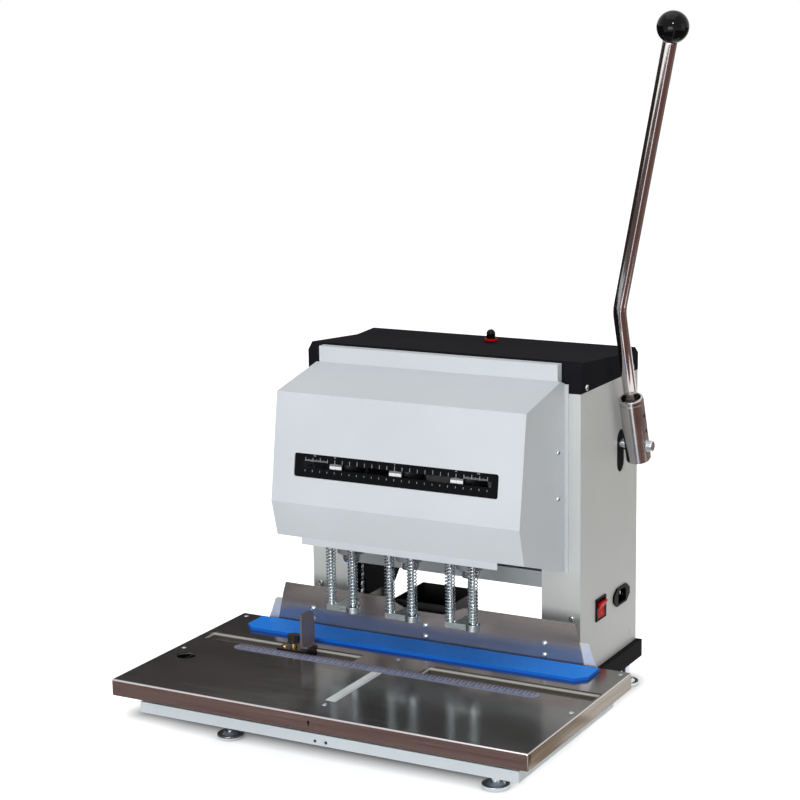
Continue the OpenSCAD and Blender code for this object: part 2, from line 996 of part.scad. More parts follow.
module spindle_housing(s) {
    reach = rail_front - drill_y;
    color([0.5, 0.52, 0.54])
    difference() {
        union() {
            at_drill(s) {
                translate([0, 0, sleeve_foot])
                    cylinder(h = sleeve_top - sleeve_foot, r = sleeve_r);
                translate([0, 0, sleeve_top])
                    cylinder(h = flange_top - sleeve_top, r = flange_r);
                box([-carrier_half, 0, groove_foot - 10],
                    [carrier_half, reach, groove_foot + groove_h + 10]);
                box([-carrier_half, 0, groove_foot + slide_gap],
                    [carrier_half, reach + groove_d - slide_gap, groove_foot + groove_h - slide_gap]);
                box([-rod_dx - lug_out, -rod_back - lug_out, lug_foot], [rod_dx + lug_out, 0, lug_top]);
                box([-3, -31, sleeve_top], [3, -flange_r + 2, flange_top]);
                box([-3, -33, sleeve_top], [3, -31, slit_mid + 3]);
                box([-8, -33, slit_mid - 2.5], [8, -31, slit_mid + 2.5]);
            }
        }
        at_drill(s)
            translate([0, 0, sleeve_foot - 1])
                cylinder(h = flange_top, r = spindle_r + run_gap);
        at_rods(s)
            translate([0, 0, lug_foot - 1])
                cylinder(h = lug_top - lug_foot + 2, r = rod_r + run_gap);
    }
}

module spindle_motor(s) {
    color([0.2, 0.2, 0.22])
    at_drill(s) {
        translate([0, 0, flange_top])
            cylinder(h = motor_top - flange_top - 6, r = motor_r);
        translate([0, 0, motor_top - 6])
            cylinder(h = 6, r = motor_r - 6);
    }
}

module spindle(s) {
    color([0.55, 0.55, 0.57])
    at_drill(s)
        difference() {
            union() {
                translate([0, 0, nose_top - 0.5])
                    cylinder(h = flange_top - nose_top, r = spindle_r);
                translate([0, 0, nose_foot + 2])
                    cylinder(h = nose_top - nose_foot - 2, r = nose_r);
                translate([0, 0, nose_foot])
                    cylinder(h = 2, r1 = nose_r - 1.5, r2 = nose_r);
            }
            translate([0, 0, nose_foot - 1])
                cylinder(h = 24, r = drill_r + run_gap);
            translate([0, 0, nose_foot])
                cylinder(h = flange_top - nose_foot - 10, r = drill_r - 1);
        }
}

module hollow_drill(s) {
    color([0.78, 0.78, 0.8])
    at_drill(s)
        rotate_extrude()
            polygon([[drill_r - 0.9, drill_tip], [drill_r, drill_tip + 3], [drill_r, nose_foot + 22],
                [drill_r - 1.1, nose_foot + 22], [drill_r - 1.1, drill_tip]]);
}

module press_foot(s) {
    eye_r = spring_r + wire_r + eye_wall;
    lobe_r = drill_r + lobe_wall;
    color([0.7, 0.72, 0.74])
    difference() {
        union() {
            box([s * pitch - rod_dx - foot_edge, rod_y - foot_edge, foot_foot],
                [s * pitch + rod_dx, rod_y + foot_back, foot_top]);
            box([s * pitch - lobe_r, rod_y, foot_foot], [s * pitch + lobe_r, drill_y, foot_top]);
            at_drill(s)
                translate([0, 0, foot_foot])
                    cylinder(h = foot_t, r = lobe_r);
            translate([s * pitch + rod_dx, rod_y, foot_foot])
                cylinder(h = foot_t, r = eye_r);
        }
        translate([s * pitch + rod_dx, rod_y, foot_foot + 2.5])
            cylinder(h = foot_t, r = spring_r - wire_r + 0.05);
        at_rods(s)
            translate([0, 0, foot_foot - 1])
                cylinder(h = foot_t + 2, r = rod_r + run_gap);
        at_drill(s)
            translate([0, 0, foot_foot - 1])
                cylinder(h = foot_t + 2, r = drill_r + 1.2);
    }
}

module foot_rods(s) {
    color([0.82, 0.84, 0.85])
    at_rods(s) {
        translate([0, 0, foot_low + 1])
            cylinder(h = lug_top + 18 - foot_low - 1, r = rod_r);
        translate([0, 0, foot_low])
            cylinder(h = 1, r1 = rod_r - 1, r2 = rod_r);
        translate([0, 0, lug_top + slide_gap])
            cylinder(h = 4, r = rod_r + 1.6);
    }
}

// Foot spring: one unbroken helix tube between the foot and the lug.
// Both ends stand straight up for one wire diameter.
ring_sides = 6;
turn_rings = 8;
spring_low = foot_top;
spring_high = lug_foot;
coil_low = spring_low + 2 * wire_r + wire_r;
coil_high = spring_high - 2 * wire_r - wire_r;
coil_rings = spring_turns * turn_rings;
coil_pitch = (coil_high - coil_low) / spring_turns;
function coil_point(i) = let (a = 360 * i / turn_rings)
    [spring_r * cos(a), spring_r * sin(a), coil_low + coil_pitch * i / turn_rings];
spring_path = concat(
    [[spring_r, 0, spring_low]],
    [[spring_r, 0, coil_low - wire_r]],
    [for (i = [1 : coil_rings - 1]) coil_point(i)],
    [[spring_r, 0, coil_high + wire_r]],
    [[spring_r, 0, spring_high]]);
spring_last = len(spring_path) - 1;
function unit(v) = v / norm(v);
function path_dir(i) = i == 0 || i == spring_last ? [0, 0, 1]
    : unit(unit(spring_path[i + 1] - spring_path[i]) + unit(spring_path[i] - spring_path[i - 1]));
function ring_at(i) = let (
        c = spring_path[i],
        radial = unit([c[0], c[1], 0]),
        side = unit(cross(path_dir(i), radial)),
        out = cross(side, path_dir(i)))
    [for (k = [0 : ring_sides - 1]) let (a = 360 * k / ring_sides)
        c + wire_r * (cos(a) * out + sin(a) * side)];
spring_points = [for (i = [0 : spring_last]) each ring_at(i)];
spring_sides = [for (i = [0 : spring_last - 1], k = [0 : ring_sides - 1])
    let (a = i * ring_sides + k, b = i * ring_sides + (k + 1) % ring_sides)
    each [[a, b, b + ring_sides], [a, b + ring_sides, a + ring_sides]]];
function lift(base, tri) = [for (t = tri) t + base];

// Least distance between rings at least three quarters of a turn apart, less the wire
spring_gap = min([for (i = [0 : spring_last - 6], j = [i + 6 : min(spring_last, i + 12)])
    norm(spring_path[i] - spring_path[j])]) - 2 * wire_r;
echo(spring_gap = spring_gap, coil_pitch = coil_pitch);

module foot_springs(s) {
    color([0.7, 0.72, 0.73])
    at_rods(s)
        polyhedron(points = spring_points, faces = concat(spring_sides,
            [for (k = [1 : ring_sides - 2]) [0, k + 1, k]],
            [for (k = [1 : ring_sides - 2]) lift(spring_last * ring_sides, [0, k, k + 1])]));
}

// ---------- side gauge ----------

module gauge_base() {
    color([0.45, 0.42, 0.38])
    difference() {
        union() {
            box([gauge_x - gauge_w / 2, slot_front + slide_gap, table_top - slot_depth + slide_gap],
                [gauge_x + gauge_w / 2, slot_rear - slide_gap, table_top + slide_gap]);
            box([gauge_x - gauge_w / 2, slot_front - 0.5, table_top + slide_gap],
                [gauge_x + gauge_w / 2, slot_rear + 2, gauge_top]);
        }
        translate([gauge_x, gauge_y - 7, table_top - slot_depth])
            cylinder(h = 20, r = 2.5 + run_gap);
    }
}

module gauge_stop() {
    x0 = gauge_x + 8;
    y0 = gauge_y - 5;
    y1 = y0 + 30;
    z1 = gauge_top + 42;
    r = 12;
    color([0.8, 0.85, 0.9, 0.4]) {
        difference() {
            box([x0, y0, gauge_top], [x0 + 2.5, y1, z1]);
            translate([x0 - 1, y1 - r, z1 - r])
                cube([5, r + 1, r + 1]);
        }
        translate([0, y1 - r, z1 - r])
            intersection() {
                rod_x(x0, 2.5, r);
                translate([x0, -r / 2, -r / 2])
                    cube([2.5, 2 * r, 2 * r]);
            }
        box([x0, slot_front + 8, gauge_top], [x0 + 10, slot_rear, gauge_top + 2.5]);
    }
}

module gauge_knob() {
    color([0.05, 0.05, 0.06])
    translate([gauge_x, gauge_y - 7, 0]) {
        difference() {
            translate([0, 0, gauge_top + 7])
                cylinder(h = 10, r = 7.2);
            for (a = [0 : 20 : 340])
                rotate([0, 0, a])
                    translate([7.6, 0, gauge_top + 6])
                        cylinder(h = 12, r = 0.8, $fn = 16);
        }
        translate([0, 0, gauge_top + 0.3])
            cylinder(h = 7, r = 4);
        translate([0, 0, table_top - slot_depth + 0.5])
            cylinder(h = slot_depth + 6, r = 2.5);
    }
}

// ---------- side fittings and button ----------

module switch_bezel() {
    color([0.04, 0.04, 0.05])
    difference() {
        union() {
            box([half_w, switch_y - switch_w / 2, switch_z - switch_h / 2],
                [half_w + 2, switch_y + switch_w / 2, switch_z + switch_h / 2]);
            box([half_w - switch_d, switch_y - 13.2, switch_z - 12.2],
                [half_w + 1, switch_y + 13.2, switch_z + 12.2]);
        }
        box([half_w - switch_d + 2, switch_y - 10.5, switch_z - 11.8],
            [half_w + 3, switch_y + 10.5, switch_z + 11.8]);
    }
}

// Rocks about a pin along Y; at rest its upper end stands out
module switch_rocker() {
    color([0.85, 0.08, 0.05])
    translate([half_w - 2, switch_y, switch_z])
        rotate([0, rocker_tilt, 0]) {
            along_y(-10, 20)
                polygon([[-4, -6], [4.5, -10.6], [6.2, -9.8], [3.4, 0], [6.2, 9.8], [4.5, 10.6], [-4, 6]]);
            rotate([90, 0, 0])
                translate([0, 0, -10.45])
                    cylinder(h = 20.9, r = 1.5);
        }
}

module mains_inlet() {
    color([0.05, 0.05, 0.06])
    difference() {
        union() {
            along_x(half_w, 2.5)
                translate([inlet_y, inlet_z])
                    polygon([[-25, -4], [-15, -11.5], [15, -11.5], [25, -4],
                        [25, 4], [15, 11.5], [-15, 11.5], [-25, 4]]);
            box([half_w - inlet_d, inlet_y - 13.7, inlet_z - 10.2],
                [half_w + 1, inlet_y + 13.7, inlet_z + 10.2]);
        }
        along_x(half_w - 14.5, 18)
            translate([inlet_y, inlet_z])
                polygon([[-12, -8.5], [12, -8.5], [12, 4], [7.5, 8.5], [-7.5, 8.5], [-12, 4]]);
    }
    color([0.75, 0.75, 0.75])
    for (p = [[-7, -1], [0, 3], [7, -1]])
        box([half_w - 15, inlet_y + p[0] - 1, inlet_z + p[1] - 2],
            [half_w - 0.5, inlet_y + p[0] + 1, inlet_z + p[1] + 2]);
}

module button_collar() {
    color([0.8, 0.06, 0.05])
    translate([button_x, button_y, button_seat])
        difference() {
            cylinder(h = collar_t, r = collar_r);
            translate([0, 0, -1])
                cylinder(h = collar_t + 2, r = button_r + run_gap);
        }
}

module reset_button() {
    z0 = button_seat + collar_t;
    color([0.05, 0.05, 0.06])
    translate([button_x, button_y, 0]) {
        translate([0, 0, button_seat - 8])
            cylinder(h = z0 - button_seat + 14, r = button_r);
        translate([0, 0, z0 + 6])
            intersection() {
                sphere(button_r);
                cylinder(h = button_r + 1, r = button_r);
            }
    }
}

base_frame();
sub_frame();
table_plate();
ruler_strip();
centre_strip();
cutting_pad();
fence_plate();
fence_backing();
machine_screws();
side_panel_left();
side_panel_right();
rear_panel();
top_cover();
top_tie();
hood();
scale_plate();
cross_beam();
chip_tray();
guide_shafts();
return_springs();
bearing_blocks();
levelling_feet();
head_side_plates();
head_rail();
guide_blocks();
head_racks();
lever_shaft();
lever_pinions();
lever_hub();
lever_rod();
lever_knob();
spindle_housing(-1);  // spindle_housing_left
spindle_housing(0);  // spindle_housing_centre
spindle_housing(1);  // spindle_housing_right
spindle_motor(-1);  // spindle_motor_left
spindle_motor(0);  // spindle_motor_centre
spindle_motor(1);  // spindle_motor_right
spindle(-1);  // spindle_left
spindle(0);  // spindle_centre
spindle(1);  // spindle_right
hollow_drill(-1);  // hollow_drill_left
hollow_drill(0);  // hollow_drill_centre
hollow_drill(1);  // hollow_drill_right
press_foot(-1);  // press_foot_left
press_foot(0);  // press_foot_centre
press_foot(1);  // press_foot_right
foot_rods(-1);  // foot_rods_left
foot_rods(0);  // foot_rods_centre
foot_rods(1);  // foot_rods_right
foot_springs(-1);  // foot_springs_left
foot_springs(0);  // foot_springs_centre
foot_springs(1);  // foot_springs_right
gauge_base();
gauge_stop();
gauge_knob();
switch_bezel();
switch_rocker();
mains_inlet();
reset_button();
button_collar();
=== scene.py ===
"""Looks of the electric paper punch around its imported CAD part. Metres, in the CAD's own frame."""
import json
import math

import bmesh
import bpy
from mathutils import Matrix, Vector


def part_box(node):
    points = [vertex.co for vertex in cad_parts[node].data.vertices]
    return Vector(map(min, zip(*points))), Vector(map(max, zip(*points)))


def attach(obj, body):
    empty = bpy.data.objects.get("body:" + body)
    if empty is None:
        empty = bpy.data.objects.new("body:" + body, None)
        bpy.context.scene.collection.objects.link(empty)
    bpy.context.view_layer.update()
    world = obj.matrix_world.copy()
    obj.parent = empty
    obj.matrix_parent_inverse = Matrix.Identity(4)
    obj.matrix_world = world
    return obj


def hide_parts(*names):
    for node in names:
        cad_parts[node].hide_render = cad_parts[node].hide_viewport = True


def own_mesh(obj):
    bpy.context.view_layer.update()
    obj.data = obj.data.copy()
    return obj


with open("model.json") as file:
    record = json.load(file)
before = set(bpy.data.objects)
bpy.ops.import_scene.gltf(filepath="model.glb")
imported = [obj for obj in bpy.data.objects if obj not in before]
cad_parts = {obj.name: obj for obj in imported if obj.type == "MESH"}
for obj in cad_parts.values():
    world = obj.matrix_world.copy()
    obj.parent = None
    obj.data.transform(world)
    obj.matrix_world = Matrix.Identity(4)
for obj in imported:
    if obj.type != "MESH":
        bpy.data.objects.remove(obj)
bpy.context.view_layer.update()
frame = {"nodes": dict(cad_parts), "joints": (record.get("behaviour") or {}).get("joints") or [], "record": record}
NODES = frame["nodes"]
BODY = {n: b for b, ns in frame["record"]["behaviour"]["bodies"].items() for n in ns}
UNITS = ("left", "centre", "right")
MM = 0.001


# ---------- small helpers ----------

def srgb(r, g, b):
    """A colour given in 0-255 display values, as linear light."""
    def one(v):
        v /= 255
        return v / 12.92 if v <= 0.04045 else ((v + 0.055) / 1.055) ** 2.4
    return (one(r), one(g), one(b), 1.0)


def shade(color, k):
    """The same colour, darker or lighter by a factor."""
    return tuple(min(1.0, c * k) for c in color[:3]) + (1.0,)


class Shader:
    """A Principled material with short names for the nodes that the surfaces here use."""

    def __init__(self, name, color, rough, metal=0.0):
        self.material = bpy.data.materials.new(name)
        self.material.use_nodes = True
        self.tree = self.material.node_tree
        self.bsdf = self.tree.nodes["Principled BSDF"]
        self.set("Base Color", color)
        self.set("Roughness", rough)
        self.set("Metallic", metal)

    def set(self, socket, value):
        self.bsdf.inputs[socket].default_value = value

    def add(self, kind, **values):
        """A new node; each value is one of its settings, or else a socket with _ for a space."""
        node = self.tree.nodes.new("ShaderNode" + kind)
        for key, value in values.items():
            if hasattr(node, key):
                setattr(node, key, value)
            else:
                node.inputs[key.replace("_", " ")].default_value = value
        return node

    def link(self, a, b):
        self.tree.links.new(a, b)

    def coords(self, scale=(1, 1, 1)):
        place = self.add("TexCoord")
        stretch = self.add("Mapping")
        stretch.inputs["Scale"].default_value = scale
        self.link(place.outputs["Object"], stretch.inputs["Vector"])
        return stretch.outputs["Vector"]

    def noise(self, scale, detail=2.0, stretch=(1, 1, 1), rough=0.5):
        tex = self.add("TexNoise", Scale=scale, Detail=detail, Roughness=rough)
        self.link(self.coords(stretch), tex.inputs["Vector"])
        return tex.outputs["Fac"]

    def ramp(self, source, low, high, start=0.3, end=0.7):
        node = self.add("ValToRGB")
        node.color_ramp.elements[0].position = start
        node.color_ramp.elements[1].position = end
        node.color_ramp.elements[0].color = low
        node.color_ramp.elements[1].color = high
        self.link(source, node.inputs["Fac"])
        return node.outputs["Color"]

    def span(self, source, low, high, start=0.3, end=0.7):
        node = self.add("MapRange")
        node.inputs["From Min"].default_value = start
        node.inputs["From Max"].default_value = end
        node.inputs["To Min"].default_value = low
        node.inputs["To Max"].default_value = high
        self.link(source, node.inputs["Value"])
        return node.outputs["Result"]

    def mix(self, factor, a, b, blend="MIX"):
        node = self.add("Mix", data_type="RGBA", blend_type=blend)
        for value, socket in ((factor, 0), (a, 6), (b, 7)):
            if isinstance(value, (tuple, float, int)):
                node.inputs[socket].default_value = value
            else:
                self.link(value, node.inputs[socket])
        return node.outputs[2]

    def color(self, source):
        self.link(source, self.bsdf.inputs["Base Color"])

    def rough(self, source):
        self.link(source, self.bsdf.inputs["Roughness"])

    def bump(self, source, strength, distance=0.0002):
        node = self.add("Bump", Strength=strength, Distance=distance)
        self.link(source, node.inputs["Height"])
        self.link(node.outputs["Normal"], self.bsdf.inputs["Normal"])

    def product(self, a, b):
        node = self.add("Math", operation="MULTIPLY")
        self.link(a, node.inputs[0])
        self.link(b, node.inputs[1])
        return node.outputs[0]

    def facing(self, axis, low, high):
        """0 to 1 as the surface's own normal turns from low to high along an axis."""
        place = self.add("TexCoord")
        split = self.add("SeparateXYZ")
        self.link(place.outputs["Normal"], split.inputs[0])
        return self.span(split.outputs["XYZ".index(axis)], 0.0, 1.0, low, high)

    def height(self, axis, low, high):
        """0 to 1 between two places along an axis of the frame."""
        split = self.add("SeparateXYZ")
        self.link(self.coords(), split.inputs[0])
        return self.span(split.outputs["XYZ".index(axis)], 0.0, 1.0, low, high)


def painted(name, color, rough=0.4, grain=1500, depth=0.12, tint=0.035, gloss=0.5):
    """Sprayed or powder-coated sheet: a fine orange peel and a little drift in tone."""
    s = Shader(name, color, rough)
    s.set("Specular IOR Level", gloss)
    drift = s.noise(7, 4)
    peel = s.noise(grain, 3)
    s.color(s.ramp(drift, shade(color, 1 - tint), shade(color, 1 + tint)))
    s.rough(s.span(peel, rough - 0.06, rough + 0.08))
    s.bump(peel, depth, 0.00015)
    return s


def brushed(name, color, rough, stretch, contrast=0.12, depth=0.08, metal=1.0):
    """Metal with fine lines: stretch is small along the lines and large across them."""
    s = Shader(name, color, rough, metal)
    lines = s.noise(1, 3, stretch, 0.6)
    cloud = s.noise(9, 3)
    tone = s.ramp(lines, shade(color, 1 - contrast), shade(color, 1 + contrast))
    s.color(s.mix(s.span(cloud, 0.0, 0.35), tone, shade(color, 0.8)))
    s.rough(s.span(lines, rough - 0.05, rough + 0.07))
    s.bump(lines, depth, 0.00008)
    return s


def polished(name, color, rough, wear=0.05):
    """Plated or ground metal with faint smears and pits."""
    s = Shader(name, color, rough, 1.0)
    smear = s.noise(30, 4)
    pits = s.noise(900, 2)
    s.color(s.ramp(smear, shade(color, 1 - 2 * wear), shade(color, 1 + wear)))
    s.rough(s.span(smear, max(0.02, rough - wear), rough + wear))
    s.bump(pits, 0.03, 0.00006)
    return s


def moulded(name, color, rough, grain=1200, depth=0.1, gloss=0.5):
    """Moulded plastic with a slight leathery grain."""
    s = Shader(name, color, rough)
    s.set("Specular IOR Level", gloss)
    grainy = s.noise(grain, 2)
    cloud = s.noise(25, 3)
    s.color(s.ramp(cloud, shade(color, 0.88), shade(color, 1.12)))
    s.rough(s.span(grainy, rough - 0.05, rough + 0.06))
    s.bump(grainy, depth, 0.00012)
    return s


# ---------- materials ----------

def make_materials():
    m = {}
    m["light_steel"] = painted("hood_paint", srgb(206, 212, 217), 0.38)
    # panel paint is the hood's light grey made a little darker and warmer: painted shade and a painted warm
    # reflection for the panels' sides
    m["grey_steel"] = painted("panel_paint", srgb(203, 206, 205), 0.4)
    m["sub"] = painted("tray_paint", srgb(206, 215, 221), 0.42)
    m["black_steel"] = painted("black_coat", srgb(31, 31, 33), 0.6, 2200, 0.2, 0.08, 0.02)
    m["cover"] = painted("cover_coat", srgb(28, 28, 32), 0.6, 2600, 0.15, 0.08, 0.012)
    m["motor_case"] = painted("motor_enamel", srgb(40, 40, 43), 0.3)
    # the cross beam is the body's light grey made darker: painted shade for its place under the hood
    m["beam"] = painted("beam_paint", srgb(160, 167, 170), 0.45)
    m["cast_grey"] = painted("casting_paint", srgb(120, 124, 128), 0.5, 700, 0.3, 0.08)
    m["table_steel"] = table_metal()
    m["fence_steel"] = brushed("fence_metal", srgb(178, 170, 166), 0.2, (6, 260, 1300), 0.06, 0.015, 0.84)
    m["wing"] = brushed("backing_metal", srgb(212, 213, 218), 0.45, (14, 500, 1100), 0.06, 0.02, 0.6)
    m["alu"] = brushed("satin_aluminium", srgb(186, 196, 198), 0.3, (60, 60, 900), 0.08)
    m["bright_steel"] = polished("ground_steel", srgb(176, 178, 182), 0.24)
    m["zinc"] = polished("zinc_plate", srgb(206, 212, 218), 0.16)
    m["rod_steel"] = polished("rod_steel", srgb(226, 234, 238), 0.1)
    m["wire"] = polished("spring_wire", srgb(196, 208, 214), 0.18)
    m["chrome"] = polished("lever_chrome", srgb(204, 198, 198), 0.12, 0.03)
    m["hub_chrome"] = polished("hub_chrome", srgb(196, 193, 193), 0.2, 0.04)
    m["brass"] = polished("brass", srgb(196, 158, 96), 0.28)
    m["bronze"] = polished("gauge_bronze", srgb(62, 54, 50), 0.3)
    m["knob"] = knob_plastic()
    m["black_plastic"] = moulded("black_plastic", srgb(24, 24, 26), 0.45, gloss=0.3)
    m["scale_black"] = moulded("scale_black", srgb(14, 15, 18), 0.55, gloss=0.04)
    m["gloss_black"] = moulded("gloss_black", srgb(10, 10, 12), 0.07, 600, 0.02, 0.13)
    m["satin_black"] = moulded("satin_black", srgb(15, 15, 17), 0.3, 900, 0.05, 0.03)
    m["red_plastic"] = moulded("red_plastic", srgb(204, 14, 12), 0.35, 700, 0.03, 0.05)
    m["blue_pad"] = pad_plastic()
    m["print_white"] = moulded("print_white", srgb(172, 175, 180), 0.5)
    m["print_dark"] = moulded("print_dark", srgb(36, 38, 58), 0.5)
    m["print_grey"] = moulded("print_grey", srgb(120, 124, 124), 0.5)
    m["pointer"] = moulded("pointer_white", srgb(250, 250, 250), 0.4)
    m["ruler"] = moulded("ruler_print", srgb(136, 141, 168), 0.35, 900, 0.05)
    m["strip"] = moulded("strip_print", srgb(216, 221, 221), 0.4, 900, 0.05)
    m["clear"] = clear_acrylic()
    return {k: v.material for k, v in m.items()}


def table_metal():
    """Polished stainless sheet, lined along X, with painted brown reflections on the front and right aprons, a
    painted highlight along the bend, and painted light and shade in the channels.
    """
    sheet, metal = srgb(142, 140, 138), 0.89
    low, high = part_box("table_plate")
    s = Shader("table_metal", sheet, 0.15, metal)
    lines = s.noise(1, 3, (9, 900, 900), 0.6)
    cloud = s.noise(6, 4, (1, 2.2, 1))
    top = s.ramp(cloud, shade(sheet, 0.85), shade(sheet, 1.15), 0.35, 0.68)

    # the apron at the front, and the one at the right: the front's light brown and the right's beige are painted
    # reflections of brown surroundings, not the sheet's own colour
    streak = s.noise(1, 3, (6, 300, 300), 0.7)
    front = s.ramp(streak, srgb(176, 152, 148), srgb(214, 190, 185), 0.3, 0.7)
    near_front = s.height("Y", low.y + 6 * MM, low.y + 3 * MM)
    front_reflection_mask = s.product(s.facing("Y", -0.6, -0.9), near_front)
    along = s.noise(1, 3, (300, 6, 300), 0.7)
    side = s.ramp(along, srgb(130, 119, 102), srgb(164, 150, 128), 0.3, 0.7)
    near_side = s.height("X", high.x - 2 * MM, high.x - 1 * MM)
    side_reflection_mask = s.product(s.facing("X", 0.6, 0.9), near_side)

    # the rounded bend between the top and the aprons, painted pale grey as a highlight
    edge = s.facing("Z", 0.12, 0.3)
    flat = s.facing("Z", 0.9, 0.99)
    bright = s.product(edge, s.span(flat, 1.0, 0.0, 0.0, 1.0))

    # the recessed channels, both without the polish: a pale upper wall that is a painted highlight, and a darker
    # bed that is painted shade
    below_top = s.height("Z", high.z - 1 * MM, high.z - 2.5 * MM)
    bed = s.height("Z", high.z - 4.2 * MM, high.z - 5.2 * MM)
    wall = s.mix(bed, srgb(232, 232, 228), srgb(120, 114, 108))
    channel = s.product(below_top, s.height("Y", low.y + 6 * MM, low.y + 9 * MM))

    # painted highlight and painted shade in the channels
    body = s.mix(channel, top, wall)
    # painted reflections on the two aprons
    body = s.mix(front_reflection_mask, body, front)
    body = s.mix(side_reflection_mask, body, side)
    # painted highlight along the bend
    body = s.mix(bright, body, srgb(206, 202, 203))
    s.color(body)
    s.rough(s.span(lines, 0.12, 0.2))
    s.link(s.span(channel, metal, 0.15, 0.0, 1.0), s.bsdf.inputs["Metallic"])
    s.bump(lines, 0.05, 0.00008)
    return s


def knob_plastic():
    """Black grip above, brass stem below."""
    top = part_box("gauge_knob")[1].z
    s = Shader("knob_plastic", srgb(20, 20, 22), 0.2)
    grip = s.height("Z", top - 11 * MM, top - 10.5 * MM)
    smear = s.noise(60, 3)
    s.color(s.mix(grip, s.ramp(smear, srgb(176, 140, 84), srgb(214, 176, 112)), srgb(16, 16, 18)))
    s.link(s.span(grip, 1.0, 0.0, 0.0, 1.0), s.bsdf.inputs["Metallic"])
    s.rough(s.span(smear, 0.16, 0.26))
    return s


def pad_plastic():
    """Blue cutting plastic with fine cut marks and a soft sheen; its top faces are painted a lighter blue than its
    sides, as painted light on the top.
    """
    blue = srgb(13, 98, 206)
    s = Shader("pad_plastic", blue, 0.5)
    s.set("Specular IOR Level", 0.12)
    cloud = s.noise(8, 3, (0.5, 1, 1))
    marks = s.noise(1, 4, (420, 60, 60), 0.7)
    # painted light: a lighter blue on the top faces than on the sides
    top = s.ramp(cloud, srgb(22, 134, 250), srgb(26, 146, 255))
    s.color(s.mix(s.facing("Z", 0.7, 0.95), blue, top))
    s.rough(s.span(marks, 0.4, 0.6))
    s.bump(marks, 0.1, 0.0001)
    return s


def clear_acrylic():
    s = Shader("clear_acrylic", srgb(150, 142, 146), 0.2)
    s.set("Transmission Weight", 0.55)
    s.set("IOR", 1.1)
    scratch = s.noise(1, 3, (30, 400, 400), 0.7)
    s.rough(s.span(scratch, 0.12, 0.26))
    s.bump(scratch, 0.02, 0.00005)
    return s


MAT = make_materials()


# ---------- pieces ----------

def paint(obj, material):
    obj.data.materials.clear()
    obj.data.materials.append(MAT[material])


def smooth(mesh, degrees=35):
    """Smooth shading, with a sharp edge wherever two faces meet at more than this."""
    mesh.shade_smooth()
    mesh.set_sharp_from_angle(angle=math.radians(degrees))


def piece(name, bm, material, body, replaced=()):
    """A finished mesh that rides on a body and hides the CAD nodes it replaces."""
    mesh = bpy.data.meshes.new(name)
    bmesh.ops.recalc_face_normals(bm, faces=bm.faces)
    bm.to_mesh(mesh)
    bm.free()
    smooth(mesh)
    obj = bpy.data.objects.new(name, mesh)
    bpy.context.scene.collection.objects.link(obj)
    paint(obj, material)
    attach(obj, body)
    if replaced:
        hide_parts(*replaced)
    return obj


def apply_modifiers(obj):
    """Makes the shape that the modifiers give the object's own mesh."""
    graph = bpy.context.evaluated_depsgraph_get()
    mesh = bpy.data.meshes.new_from_object(obj.evaluated_get(graph))
    obj.modifiers.clear()
    obj.data = mesh
    return obj


EDGE_ANGLE = 28
CREASE_ANGLE = 8
CREASED = ("hood", "top_cover")


def add_bevel(obj, width, limit, angle=EDGE_ANGLE):
    """Rounds edges in three steps, where the angle or the edge's own weight asks for it."""
    edge = obj.modifiers.new("edge", "BEVEL")
    edge.width = width
    edge.segments = 3
    edge.limit_method = limit
    edge.angle_limit = math.radians(angle)


def softened(node, material, width, bends=None, bend=0.0):
    """A CAD node again, with its edges rounded as folded and deburred sheet is.
    bends tells which edges are folds, and they take the wider radius."""
    bm = bmesh.new()
    bm.from_mesh(NODES[node].data)
    bmesh.ops.remove_doubles(bm, verts=bm.verts, dist=1e-6)
    bmesh.ops.dissolve_limit(bm, angle_limit=math.radians(0.6), verts=bm.verts, edges=bm.edges)
    if bends:
        weight = bm.edges.layers.float.new("bevel_weight_edge")
        for edge in bm.edges:
            edge[weight] = 1.0 if bends(edge.verts[0].co, edge.verts[1].co) else 0.0
    obj = piece(node + "_finished", bm, material, BODY[node], (node,))
    obj.data.shade_smooth()
    if bends:
        add_bevel(obj, bend, "WEIGHT")
    if width:
        add_bevel(obj, width, "ANGLE", CREASE_ANGLE if node in CREASED else EDGE_ANGLE)
        apply_modifiers(obj)
    smooth(obj.data, 50)
    normals = obj.modifiers.new("normals", "WEIGHTED_NORMAL")
    normals.keep_sharp = True
    return apply_modifiers(obj)


def add_box(bm, low, high, turn=None):
    made = bmesh.ops.create_cube(bm, size=1)["verts"]
    low, high = Vector(low), Vector(high)
    for v in made:
        v.co = (low + high) / 2 + Vector(a * b for a, b in zip(v.co, high - low))
        if turn:
            v.co = turn @ v.co
    return made


def add_prism(bm, rings):
    """Closes two equal rings of points into a solid."""
    bm.faces.new(rings[0][::-1])
    bm.faces.new(rings[1])
    for k in range(len(rings[0])):
        n = (k + 1) % len(rings[0])
        bm.faces.new((rings[0][k], rings[0][n], rings[1][n], rings[1][k]))


def add_lathe(bm, outline, place=Matrix.Identity(4), sides=40):
    """Turns (radius, height) points about Z. A radius of 0 closes the form."""
    rings = []
    for r, z in outline:
        if r == 0:
            rings.append([bm.verts.new(place @ Vector((0, 0, z)))])
        else:
            rings.append([bm.verts.new(place @ Vector((r * math.cos(a), r * math.sin(a), z)))
                          for a in (2 * math.pi * i / sides for i in range(sides))])
    for low, high in zip(rings, rings[1:]):
        for i in range(sides):
            j = (i + 1) % sides
            corners = [low[i % len(low)], low[j % len(low)], high[j % len(high)], high[i % len(high)]]
            corners = list(dict.fromkeys(corners))
            if len(corners) > 2:
                bm.faces.new(corners)
    return bm


